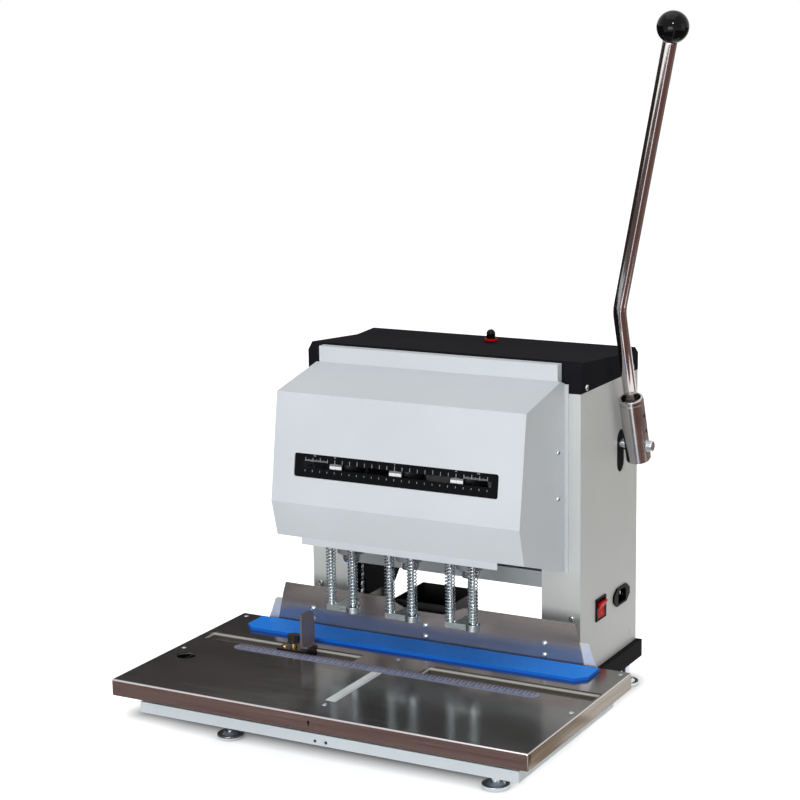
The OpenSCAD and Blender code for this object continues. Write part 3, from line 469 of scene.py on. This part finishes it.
def add_coil(bm, x, y, low, high, radius, wire, turns, per_turn=28, sides=10):
    """A coil spring whose two ends stand upright, with rings built from the radius, so it never twists."""
    foot = 3 * wire
    points = [(0.0, low), (0.0, low + foot * 0.6)]
    count = turns * per_turn
    for i in range(1, count):
        points.append((2 * math.pi * i / per_turn, low + foot + (high - low - 2 * foot) * i / count))
    points += [(2 * math.pi * turns, high - foot * 0.6), (2 * math.pi * turns, high)]
    centre = [Vector((x + radius * math.cos(a), y + radius * math.sin(a), z)) for a, z in points]
    rings = []
    last = len(centre) - 1
    for i, p in enumerate(centre):
        ahead = Vector((0, 0, 1)) if i in (0, last) else (centre[i + 1] - centre[i - 1]).normalized()
        out = Vector((p.x - x, p.y - y, 0)).normalized()
        side = ahead.cross(out).normalized()
        out = side.cross(ahead)
        rings.append([bm.verts.new(p + wire * (math.cos(a) * out + math.sin(a) * side))
                      for a in (2 * math.pi * k / sides for k in range(sides))])
    for low_ring, high_ring in zip(rings, rings[1:]):
        for k in range(sides):
            n = (k + 1) % sides
            bm.faces.new((low_ring[k], low_ring[n], high_ring[n], high_ring[k]))
    bm.faces.new(rings[0][::-1])
    bm.faces.new(rings[-1])


def add_text(bm, words, size, place, thickness):
    """Centred lettering, as thick as told, lying in the local XY plane of a placement matrix."""
    curve = bpy.data.curves.new("words", "FONT")
    curve.body = words
    curve.size = size
    curve.align_x = "CENTER"
    curve.align_y = "CENTER"
    curve.extrude = thickness / 2
    curve.resolution_u = 2
    holder = bpy.data.objects.new("words", curve)
    bpy.context.scene.collection.objects.link(holder)
    graph = bpy.context.evaluated_depsgraph_get()
    mesh = bpy.data.meshes.new_from_object(holder.evaluated_get(graph))
    mesh.transform(place)
    bm.from_mesh(mesh)
    bpy.data.objects.remove(holder)
    bpy.data.curves.remove(curve)
    bpy.data.meshes.remove(mesh)


def islands(node):
    """The separate solids of a CAD node, as lists of points."""
    bm = bmesh.new()
    bm.from_mesh(NODES[node].data)
    bmesh.ops.remove_doubles(bm, verts=bm.verts, dist=1e-6)
    left, found = set(bm.verts), []
    while left:
        stack, group = [left.pop()], []
        while stack:
            v = stack.pop()
            group.append(v.co.copy())
            for e in v.link_edges:
                w = e.other_vert(v)
                if w in left:
                    left.remove(w)
                    stack.append(w)
        found.append(group)
    bm.free()
    return sorted(found, key=lambda g: tuple(round(c, 5) for c in sum(g, Vector()) / len(g)))


def flat_side(node, towards):
    """Middle, normal and up-direction of a node's largest flat side facing a way."""
    towards = Vector(towards)
    faces = [p for p in NODES[node].data.polygons if p.normal.dot(towards) > 0.8]
    biggest = max(faces, key=lambda p: p.area).normal.copy()
    same = [p for p in faces if p.normal.dot(biggest) > 0.9999]
    verts = NODES[node].data.vertices
    depth = max(verts[i].co.dot(biggest) for p in same for i in p.vertices)
    low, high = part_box(node)
    middle = (low + high) / 2
    middle += biggest * (depth - middle.dot(biggest))
    up = (Vector((0, 0, 1)) - biggest * biggest.z).normalized()
    return middle, biggest, up


def plane_matrix(origin, normal, up):
    """Local X to the viewer's right, Y up the surface, Z out of it."""
    right = up.cross(normal)
    return Matrix(((right.x, up.x, normal.x, origin.x), (right.y, up.y, normal.y, origin.y),
                   (right.z, up.z, normal.z, origin.z), (0, 0, 0, 1)))


# ---------- screws ----------

def add_screw(bm, centre, axis, radius, tall):
    """A domed head with a cross recess; centre is on its seat and axis points out of it."""
    spin = axis.to_track_quat("Z", "Y").to_matrix().to_4x4()
    place = Matrix.Translation(centre) @ spin @ Matrix.Rotation(math.radians(20), 4, "Z")
    head = bmesh.new()
    steps = [(radius, 0), (radius, tall * 0.3), (radius * 0.94, tall * 0.62), (radius * 0.78, tall * 0.86),
             (radius * 0.5, tall * 0.98), (0, tall)]
    add_lathe(head, [(0, -0.4 * MM)] + [(radius, -0.4 * MM)] + steps[1:], sides=28)
    cutter = bmesh.new()
    arm, half = radius * 0.56, radius * 0.13
    add_box(cutter, (-arm, -half, tall * 0.35), (arm, half, tall * 2))
    second = bmesh.new()
    add_box(second, (-half, -arm, tall * 0.35), (half, arm, tall * 2))
    objects = []
    for part in (head, cutter, second):
        mesh = bpy.data.meshes.new("part")
        bmesh.ops.recalc_face_normals(part, faces=part.faces)
        part.to_mesh(mesh)
        part.free()
        obj = bpy.data.objects.new("part", mesh)
        bpy.context.scene.collection.objects.link(obj)
        objects.append(obj)
    for tool in objects[1:]:
        cut = objects[0].modifiers.new("cut", "BOOLEAN")
        cut.object = tool
        cut.solver = "EXACT"
    graph = bpy.context.evaluated_depsgraph_get()
    mesh = bpy.data.meshes.new_from_object(objects[0].evaluated_get(graph))
    mesh.transform(place)
    bm.from_mesh(mesh)
    for obj in objects:
        bpy.data.objects.remove(obj)


PAN_HEAD = 2 * MM
FLUSH_HEAD = 0.6 * MM
PAN_RADIUS = 3.4 * MM


def make_screws():
    """A domed head on every screw of the CAD's group; its wider end is the head."""
    bm = bmesh.new()
    for points in islands("machine_screws"):
        low = Vector(min(p[k] for p in points) for k in range(3))
        high = Vector(max(p[k] for p in points) for k in range(3))
        size = high - low
        k = max(range(3), key=lambda i: size[i])
        middle = (low + high) / 2
        spread = {end: max((p - middle).length for p in points if abs(p[k] - end) < 0.2 * MM)
                  for end in (low[k], high[k])}
        top = max(spread, key=spread.get)
        axis = Vector((0, 0, 0))
        axis[k] = 1 if top == high[k] else -1
        radius = max(size[i] for i in range(3) if i != k) / 2
        tall = PAN_HEAD if radius > PAN_RADIUS else FLUSH_HEAD
        seat = middle.copy()
        seat[k] = top - axis[k] * tall
        add_screw(bm, seat, axis, radius, tall)
    piece("screw_heads", bm, "zinc", "machine", ("machine_screws",))


# ---------- springs ----------

FOOT_WIRE, FOOT_TURNS = 0.6 * MM, 22
RETURN_WIRE, RETURN_TURNS, RETURN_RADIUS = 1.3 * MM, 9, 10.2 * MM


def make_springs():
    """Coils in place of the CAD's springs: under the press feet's rods, and under the head."""
    low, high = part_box("foot_springs_left")
    for unit in UNITS:
        node = "foot_springs_" + unit
        bm = bmesh.new()
        for points in islands(node):
            x0, x1 = min(p.x for p in points), max(p.x for p in points)
            y0, y1 = min(p.y for p in points), max(p.y for p in points)
            radius = (x1 - x0) / 2 - FOOT_WIRE
            add_coil(bm, (x0 + x1) / 2, (y0 + y1) / 2, low.z, high.z, radius, FOOT_WIRE, FOOT_TURNS)
        obj = piece(node + "_coils", bm, "wire", BODY[node], (node,))
        smooth(obj.data, 80)
        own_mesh(obj)
    low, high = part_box("return_springs")
    bm = bmesh.new()
    for points in islands("return_springs"):
        x0, x1 = min(p.x for p in points), max(p.x for p in points)
        y0, y1 = min(p.y for p in points), max(p.y for p in points)
        add_coil(bm, (x0 + x1) / 2, (y0 + y1) / 2, low.z, high.z, RETURN_RADIUS, RETURN_WIRE, RETURN_TURNS)
    obj = piece("return_springs_coils", bm, "wire", "machine", ("return_springs",))
    smooth(obj.data, 80)
    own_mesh(obj)


# ---------- printed scales ----------

def make_window_scale():
    """White marks on the black plate: centimetres, with millimetres at both ends, and short marks below."""
    middle, normal, up = flat_side("scale_plate", (0, -1, 0))
    place = plane_matrix(middle, normal, up)
    proud = 0.12 * MM
    end, fine_from = 120, 90
    foot, below = 5.0, -7.2
    bm = bmesh.new()

    def mark(x, half, low, high):
        add_box(bm, ((x - half) * MM, low * MM, 0), ((x + half) * MM, high * MM, proud), place)

    for x in range(-end, end + 1):
        if x % 10 == 0:
            mark(x, 0.26, foot, 9.4 if x % 50 else 10.2)
            mark(x, 0.26, below, -foot)
        elif abs(x) > fine_from:
            mark(x, 0.14, foot, 8.0 if x % 5 == 0 else 7.0)
    for x in (-108, -80, 0, 80, 108):
        spot = place @ Matrix.Translation((x * MM, 12.2 * MM, 0.06 * MM))
        add_text(bm, str(abs(x)), 2.6 * MM, spot, 0.1 * MM)
    piece("scale_marks", bm, "print_white", "machine")


PRINT_PROUD = 0.05 * MM


def make_ruler_print():
    """Dark marks and figures on the long strip that is let into the table."""
    low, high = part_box("ruler_strip")
    end, edge = 195, 0.8 * MM
    bm = bmesh.new()
    for mm in range(-end, end + 1):
        tall = (9.5 if mm % 10 == 0 else (7.5 if mm % 5 == 0 else 2.2)) * MM
        half = (0.7 if mm % 5 == 0 else 0.18) * MM
        x0, x1 = mm * MM - half, mm * MM + half
        add_box(bm, (x0, high.y - edge - tall, high.z), (x1, high.y - edge, high.z + PRINT_PROUD))
        if mm % 5:
            add_box(bm, (x0, low.y + edge, high.z), (x1, low.y + 2.6 * MM, high.z + PRINT_PROUD))
    for mm in range(-190, 191, 10):
        spot = Matrix.Translation((mm * MM, low.y + 5.0 * MM, high.z + PRINT_PROUD / 2))
        add_text(bm, str(abs(mm)), 4.0 * MM, spot, PRINT_PROUD)
    piece("ruler_marks", bm, "print_dark", "machine")


def make_strip_print():
    """Grey millimetre marks along the right edge of the strip that runs to the front."""
    low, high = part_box("centre_strip")
    edge = high.x - 0.7 * MM
    bm = bmesh.new()
    for i in range(int((high.y - low.y) / MM) - 4):
        y = low.y + (2 + i) * MM
        tall = (4.5 if i % 10 == 0 else 2.2) * MM
        add_box(bm, (edge - tall, y - 0.15 * MM, high.z), (edge, y + 0.15 * MM, high.z + PRINT_PROUD))
    piece("strip_marks", bm, "print_grey", "machine")


def make_pointers():
    """The white blades that show each spindle's place behind the window, notched above and below."""
    half, tall, notch, deep = 8.0 * MM, 1.85 * MM, 0.5 * MM, 1.0 * MM
    proud, let_in, below_top = 0.35 * MM, 0.4 * MM, 4.7 * MM
    outline = [(-half, -tall), (-notch, -tall), (0, -tall + deep), (notch, -tall), (half, -tall),
               (half, tall), (notch, tall), (0, tall - deep), (-notch, tall), (-half, tall)]
    for unit in UNITS:
        node = "spindle_housing_" + unit
        low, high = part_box(node)
        centre, tip = (low.x + high.x) / 2, high.z - below_top
        bm = bmesh.new()
        rings = [[bm.verts.new((centre + px, y, tip + pz)) for px, pz in outline]
                 for y in (low.y - proud, low.y + let_in)]
        add_prism(bm, rings)
        piece("pointer_" + unit, bm, "pointer", BODY[node])


# ---------- small fittings ----------

LEVER_LEAN = math.radians(18.6)
ROD_RADIUS = 8 * MM
ROD_AXIS_IN = 14.2 * MM
SET_SCREWS_UP = (21 * MM, 42 * MM)


def make_set_screws():
    """Two grub screws that clamp the rod in the hub, each with a socket in its end."""
    pivot = [j for j in frame["joints"] if j["name"] == "lever_turn"][0]["pos_m"]
    seat_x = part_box("lever_hub")[1].x - ROD_AXIS_IN + ROD_RADIUS
    outline = [(r * MM, x * MM) for r, x in
               ((0, 0.1), (2.3, 0.1), (2.45, 0.4), (2.45, 4.2), (2.1, 4.6), (1.3, 4.6), (1.2, 2.4), (0, 2.0))]
    bm = bmesh.new()
    for up in SET_SCREWS_UP:
        seat = Vector((seat_x, pivot[1] - up * math.sin(LEVER_LEAN), pivot[2] + up * math.cos(LEVER_LEAN)))
        place = Matrix.Translation(seat) @ Matrix.Rotation(math.pi / 2, 4, "Y")
        add_lathe(bm, outline, place, 24)
    piece("hub_set_screws", bm, "black_steel", "lever")


def make_gauge_stop_screw():
    """The small brass screw that holds the stop to the gauge's base."""
    low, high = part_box("gauge_base")
    bm = bmesh.new()
    seat = Vector((low.x + 7.5 * MM, low.y + 7 * MM, high.z))
    add_screw(bm, seat, Vector((0, 0, 1)), 2.9 * MM, PAN_HEAD)
    piece("gauge_screw_head", bm, "brass", "gauge")


def make_inlet_pins():
    """The three flat pins in the mains inlet, a hair proud of the moulded ones."""
    low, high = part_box("mains_inlet")
    middle = (low + high) / 2
    back, front = high.x - 17 * MM, high.x - 2.9 * MM
    half_wide, half_tall = 1.05 * MM, 2.05 * MM
    bm = bmesh.new()
    for y, z in ((-7, -1), (0, 3), (7, -1)):
        y, z = middle.y + y * MM, middle.z + z * MM
        made = add_box(bm, (back, y - half_wide, z - half_tall), (front, y + half_wide, z + half_tall))
        rim = {e for v in made for e in v.link_edges}
        bmesh.ops.bevel(bm, geom=list(rim), offset=0.3 * MM, segments=2, affect="EDGES")
    piece("inlet_pins", bm, "zinc", "machine")


def make_switch_marks():
    """The usual line and ring on the two ends of the rocker."""
    proud = 0.12 * MM
    inner, outer = 1.0 * MM, 1.5 * MM
    for name, towards in (("mark_on", (1, 0, 0.35)), ("mark_off", (1, 0, -0.35))):
        _, normal, up = flat_side("switch_rocker", Vector(towards).normalized())
        face = [p for p in NODES["switch_rocker"].data.polygons if p.normal.dot(normal) > 0.999]
        spot = sum((p.center * p.area for p in face), Vector()) / sum(p.area for p in face)
        place = plane_matrix(spot, normal, up)
        bm = bmesh.new()
        if name == "mark_on":
            add_box(bm, (-0.25 * MM, -1.6 * MM, 0), (0.25 * MM, 1.6 * MM, proud), place)
        else:
            add_lathe(bm, [(inner, 0), (outer, 0), (outer, proud), (inner, proud), (inner, 0)], place, 32)
            bmesh.ops.remove_doubles(bm, verts=bm.verts, dist=1e-7)
        piece("switch_" + name, bm, "print_white", "rocker")


def make_apron_mark():
    """A small black keyhole shape let into the middle of the table's front edge, as painted shade for the dark
    inside of the keyhole.
    """
    low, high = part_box("table_plate")
    place = plane_matrix(Vector((0, low.y, high.z - 10 * MM)), Vector((0, -1, 0)), Vector((0, 0, 1)))
    eye, eye_up = 1.5, 1.6
    outline = [(-0.5, -3.4), (0.5, -3.4), (0.9, 0.6)]
    outline += [(eye * math.cos(a), eye_up + eye * math.sin(a)) for a in
                (math.radians(-40 + 260 * k / 12) for k in range(13))]
    outline += [(-0.9, 0.6)]
    bm = bmesh.new()
    rings = [[bm.verts.new(place @ Vector((x * MM, y * MM, z * MM))) for x, y in outline]
             for z in (-0.2, 0.1)]
    add_prism(bm, rings)
    piece("apron_keyhole", bm, "scale_black", "machine")


# ---------- stage, light and camera ----------

CAMERA_AT = Vector((1.10077, -2.08622, 0.86846))
CAMERA_AZIMUTH = 28.71
CAMERA_ELEVATION = 11.5
CAMERA_ROLL = -0.91
CAMERA_LENS = 90.92


def make_camera():
    az, el, ro = (math.radians(v) for v in (CAMERA_AZIMUTH, CAMERA_ELEVATION, CAMERA_ROLL))
    back = Vector((math.sin(az) * math.cos(el), -math.cos(az) * math.cos(el), math.sin(el)))
    right = Vector((math.cos(az), math.sin(az), 0))
    up = back.cross(right)
    rolled = math.cos(ro) * right + math.sin(ro) * up
    rolled_up = math.cos(ro) * up - math.sin(ro) * right
    data = bpy.data.cameras.new("camera")
    data.lens = CAMERA_LENS
    data.sensor_width = 36
    data.clip_end = 60
    cam = bpy.data.objects.new("camera", data)
    cam.matrix_world = Matrix((
        (rolled.x, rolled_up.x, back.x, CAMERA_AT.x),
        (rolled.y, rolled_up.y, back.y, CAMERA_AT.y),
        (rolled.z, rolled_up.z, back.z, CAMERA_AT.z), (0, 0, 0, 1)))
    bpy.context.scene.collection.objects.link(cam)
    bpy.context.scene.camera = cam


def area_light(name, at, aim, width, height, power, color=(1, 1, 1)):
    data = bpy.data.lights.new(name, "AREA")
    data.shape = "RECTANGLE"
    data.size = width
    data.size_y = height
    data.energy = power
    data.color = color
    lamp = bpy.data.objects.new(name, data)
    lamp.location = at
    lamp.rotation_mode = "QUATERNION"
    lamp.rotation_quaternion = (Vector(at) - Vector(aim)).to_track_quat("Z", "Y")
    bpy.context.scene.collection.objects.link(lamp)
    return lamp


def background_rays(tree):
    """1 for rays that show the background itself: seen directly, in metal or through glass."""
    path = tree.nodes.new("ShaderNodeLightPath")
    every = path.outputs["Is Camera Ray"]
    for ray in ("Is Glossy Ray", "Is Transmission Ray"):
        either = tree.nodes.new("ShaderNodeMath")
        either.operation = "MAXIMUM"
        tree.links.new(every, either.inputs[0])
        tree.links.new(path.outputs[ray], either.inputs[1])
        every = either.outputs[0]
    return every


FILL = 0.42


def make_world():
    """White where the background shows, and a level fill light for everything else."""
    world = bpy.data.worlds.new("studio")
    world.use_nodes = True
    bpy.context.scene.world = world
    tree = world.node_tree
    back = tree.nodes["Background"]
    back.inputs["Color"].default_value = (1, 1, 1, 1)
    strength = tree.nodes.new("ShaderNodeMapRange")
    strength.inputs["To Min"].default_value = FILL
    strength.inputs["To Max"].default_value = 1.0
    tree.links.new(background_rays(tree), strength.inputs["Value"])
    tree.links.new(strength.outputs["Result"], back.inputs["Strength"])


# where the floor's painted shadow lies under the machine, and how far it fades out
SHADE_CENTRE = (-0.075, 0.0175, 0)
SHADE_HALF = (0.235, 0.1825, 0)
SHADE_FADE = 0.042
FLOOR_WHITE = 0.78


def make_floor():
    """Pale floor that reads as white paper, with a painted shadow: its colour and its glow fade to dark in a
    rectangle under the machine, and the glow dims near the parts by ambient occlusion.
    """
    s = Shader("floor", (0.9, 0.9, 0.91, 1), 0.9)
    s.set("Specular IOR Level", 0.0)
    spot = s.add("TexCoord").outputs["Object"]
    for operation, value in (("SUBTRACT", SHADE_CENTRE), ("ABSOLUTE", None), ("SUBTRACT", SHADE_HALF),
                             ("MAXIMUM", (0, 0, 0)), ("LENGTH", None)):
        node = s.add("VectorMath", operation=operation)
        s.link(spot, node.inputs[0])
        if value:
            node.inputs[1].default_value = value
        spot = node.outputs["Value" if operation == "LENGTH" else "Vector"]
    # painted shadow: clear runs from 0 inside the rectangle to the floor's white outside it
    clear = s.span(spot, 0.0, FLOOR_WHITE, 0.0, SHADE_FADE)
    s.color(s.ramp(clear, (0.2, 0.2, 0.21, 1), (0.9, 0.9, 0.91, 1), 0.0, FLOOR_WHITE))
    # the glow also dims near the parts by ambient occlusion, as painted contact shade
    near = s.add("AmbientOcclusion", Distance=0.04)
    near.samples = 8
    glow = s.add("Emission")
    shown = s.product(s.product(clear, near.outputs["AO"]), background_rays(s.tree))
    s.link(shown, glow.inputs["Strength"])
    total = s.add("AddShader")
    s.link(s.bsdf.outputs[0], total.inputs[0])
    s.link(glow.outputs[0], total.inputs[1])
    s.link(total.outputs[0], s.tree.nodes["Material Output"].inputs["Surface"])
    bm = bmesh.new()
    bmesh.ops.create_grid(bm, x_segments=2, y_segments=2, size=15)
    mesh = bpy.data.meshes.new("floor")
    bm.to_mesh(mesh)
    bm.free()
    floor = bpy.data.objects.new("floor", mesh)
    mesh.materials.append(s.material)
    bpy.context.scene.collection.objects.link(floor)


def make_card(name, azimuths, radii, top, color, centre=0.0, lift=2 * MM):
    """A studio card that only metal and gloss mirror: a sector of floor and a wall at its far side.
    Azimuths run from the front, -Y, towards the right, around a point on the X axis."""
    material = bpy.data.materials.new(name)
    material.use_nodes = True
    tree = material.node_tree
    glow = tree.nodes.new("ShaderNodeEmission")
    glow.inputs["Color"].default_value = color
    tree.links.new(glow.outputs[0], tree.nodes["Material Output"].inputs["Surface"])
    bm = bmesh.new()
    steps = 12
    rows = []
    for radius, z in ((radii[0], lift), (radii[1], lift), (radii[1], top)):
        row = []
        for k in range(steps + 1):
            a = math.radians(azimuths[0] + (azimuths[1] - azimuths[0]) * k / steps)
            row.append(bm.verts.new((centre + radius * math.sin(a), -radius * math.cos(a), z)))
        rows.append(row)
    for low, high in zip(rows, rows[1:]):
        for k in range(steps):
            bm.faces.new((low[k], low[k + 1], high[k + 1], high[k]))
    mesh = bpy.data.meshes.new(name)
    bm.to_mesh(mesh)
    bm.free()
    card = bpy.data.objects.new(name, mesh)
    mesh.materials.append(material)
    bpy.context.scene.collection.objects.link(card)
    for kind in ("camera", "diffuse", "transmission", "shadow", "volume_scatter"):
        setattr(card, "visible_" + kind, False)


def make_stage():
    """White paper sweep, brown and grey cards for the metal, and four lamps."""
    bpy.context.scene.view_settings.view_transform = "Standard"
    make_world()
    make_floor()
    make_card("card_left", (-172, -42), (0.75, 1.9), 1.0, (0.035, 0.028, 0.025, 1))
    make_card("card_front", (-85, 26), (0.3, 1.5), 4 * MM, (0.125, 0.095, 0.09, 1), 0.25, 3 * MM)
    make_card("card_right", (38, 118), (0.1, 1.4), 0.3, (0.17, 0.09, 0.075, 1), 0.25)
    make_card("card_behind", (118, 168), (0.6, 2.4), 0.7, (0.22, 0.16, 0.14, 1), 0.25)
    aim = (0, 0, 0.3)
    area_light("key", (0.42, -3.0, 0.46), aim, 1.8, 0.86, 44)
    area_light("top", (0, -0.2, 2.7), aim, 2.0, 2.0, 18)
    area_light("right", (2.7, 0.2, 0.95), aim, 1.0, 1.2, 5, (1.0, 0.85, 0.66))
    glint = area_light("glint", (1.25, -2.53, 2.16), (0.3, 0, 0.8), 0.2, 0.2, 60)
    glint.visible_diffuse = False


# ---------- assembly ----------

# CAD nodes that are drawn again: their material and the radius of their edges in millimetres
EDGE = {
    "hood": ("light_steel", 0.7), "sub_frame": ("sub", 0.6), "base_frame": ("black_steel", 0.6),
    "cutting_pad": ("blue_pad", 0.5), "fence_plate": ("fence_steel", 0.4), "fence_backing": ("wing", 0.4),
    "side_panel_left": ("grey_steel", 0.6), "side_panel_right": ("grey_steel", 0.6),
    "rear_panel": ("grey_steel", 0.3), "top_cover": ("cover", 1.2), "cross_beam": ("beam", 0.6),
    # head_side_plates are black: a dark sheet that gives the shaded inside of the left column, as painted shade
    "chip_tray": ("black_plastic", 0.5), "head_side_plates": ("black_steel", 0.4),
    "head_rail": ("cast_grey", 0.6), "guide_blocks": ("bright_steel", 0.5),
    "scale_plate": ("scale_black", 0.15), "levelling_feet": ("zinc", 0.5),
    "switch_bezel": ("satin_black", 0.6), "mains_inlet": ("satin_black", 0.6),
    "switch_rocker": ("red_plastic", 0.6), "gauge_base": ("bronze", 0.5), "gauge_stop": ("clear", 0.3),
    "gauge_knob": ("knob", 0.15), "lever_shaft": ("zinc", 0.4), "button_collar": ("red_plastic", 0.6),
    "lever_hub": ("hub_chrome", 0.35), "lever_rod": ("chrome", 0), "lever_knob": ("gloss_black", 0),
    "reset_button": ("gloss_black", 0), "ruler_strip": ("ruler", 0.1), "centre_strip": ("strip", 0.1),
}
# CAD nodes that stay as they are, and their material
KEPT = {
    "guide_shafts": "bright_steel", "lever_pinions": "bright_steel",
    "head_racks": "bright_steel", "bearing_blocks": "black_steel", "top_tie": "bright_steel",
}
for unit in UNITS:
    EDGE["press_foot_" + unit] = ("alu", 0.5)
    EDGE["foot_rods_" + unit] = ("rod_steel", 0.1)
    EDGE["spindle_" + unit] = ("bright_steel", 0.3)
    EDGE["spindle_housing_" + unit] = ("cast_grey", 0.4)
    KEPT["spindle_motor_" + unit] = "motor_case"
    KEPT["hollow_drill_" + unit] = "bright_steel"


def table_bend(a, b):
    """The table's outer top edge and its two front corners."""
    low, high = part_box("table_plate")
    near = 0.1 * MM
    rim = all(v.z > high.z - near for v in (a, b))
    for side in (low.x, high.x):
        if all(abs(v.x - side) < near for v in (a, b)):
            return rim or all(abs(v.y - low.y) < near for v in (a, b))
    return rim and all(abs(v.y - low.y) < near for v in (a, b))


for node, (material, width) in EDGE.items():
    softened(node, material, width * MM)
softened("table_plate", "table_steel", 0.4 * MM, table_bend, 1.8 * MM)
for node, material in KEPT.items():
    paint(NODES[node], material)
make_screws()
make_springs()
make_window_scale()
make_ruler_print()
make_strip_print()
make_pointers()
make_set_screws()
make_gauge_stop_screw()
make_inlet_pins()
make_switch_marks()
make_apron_mark()
make_camera()
make_stage()
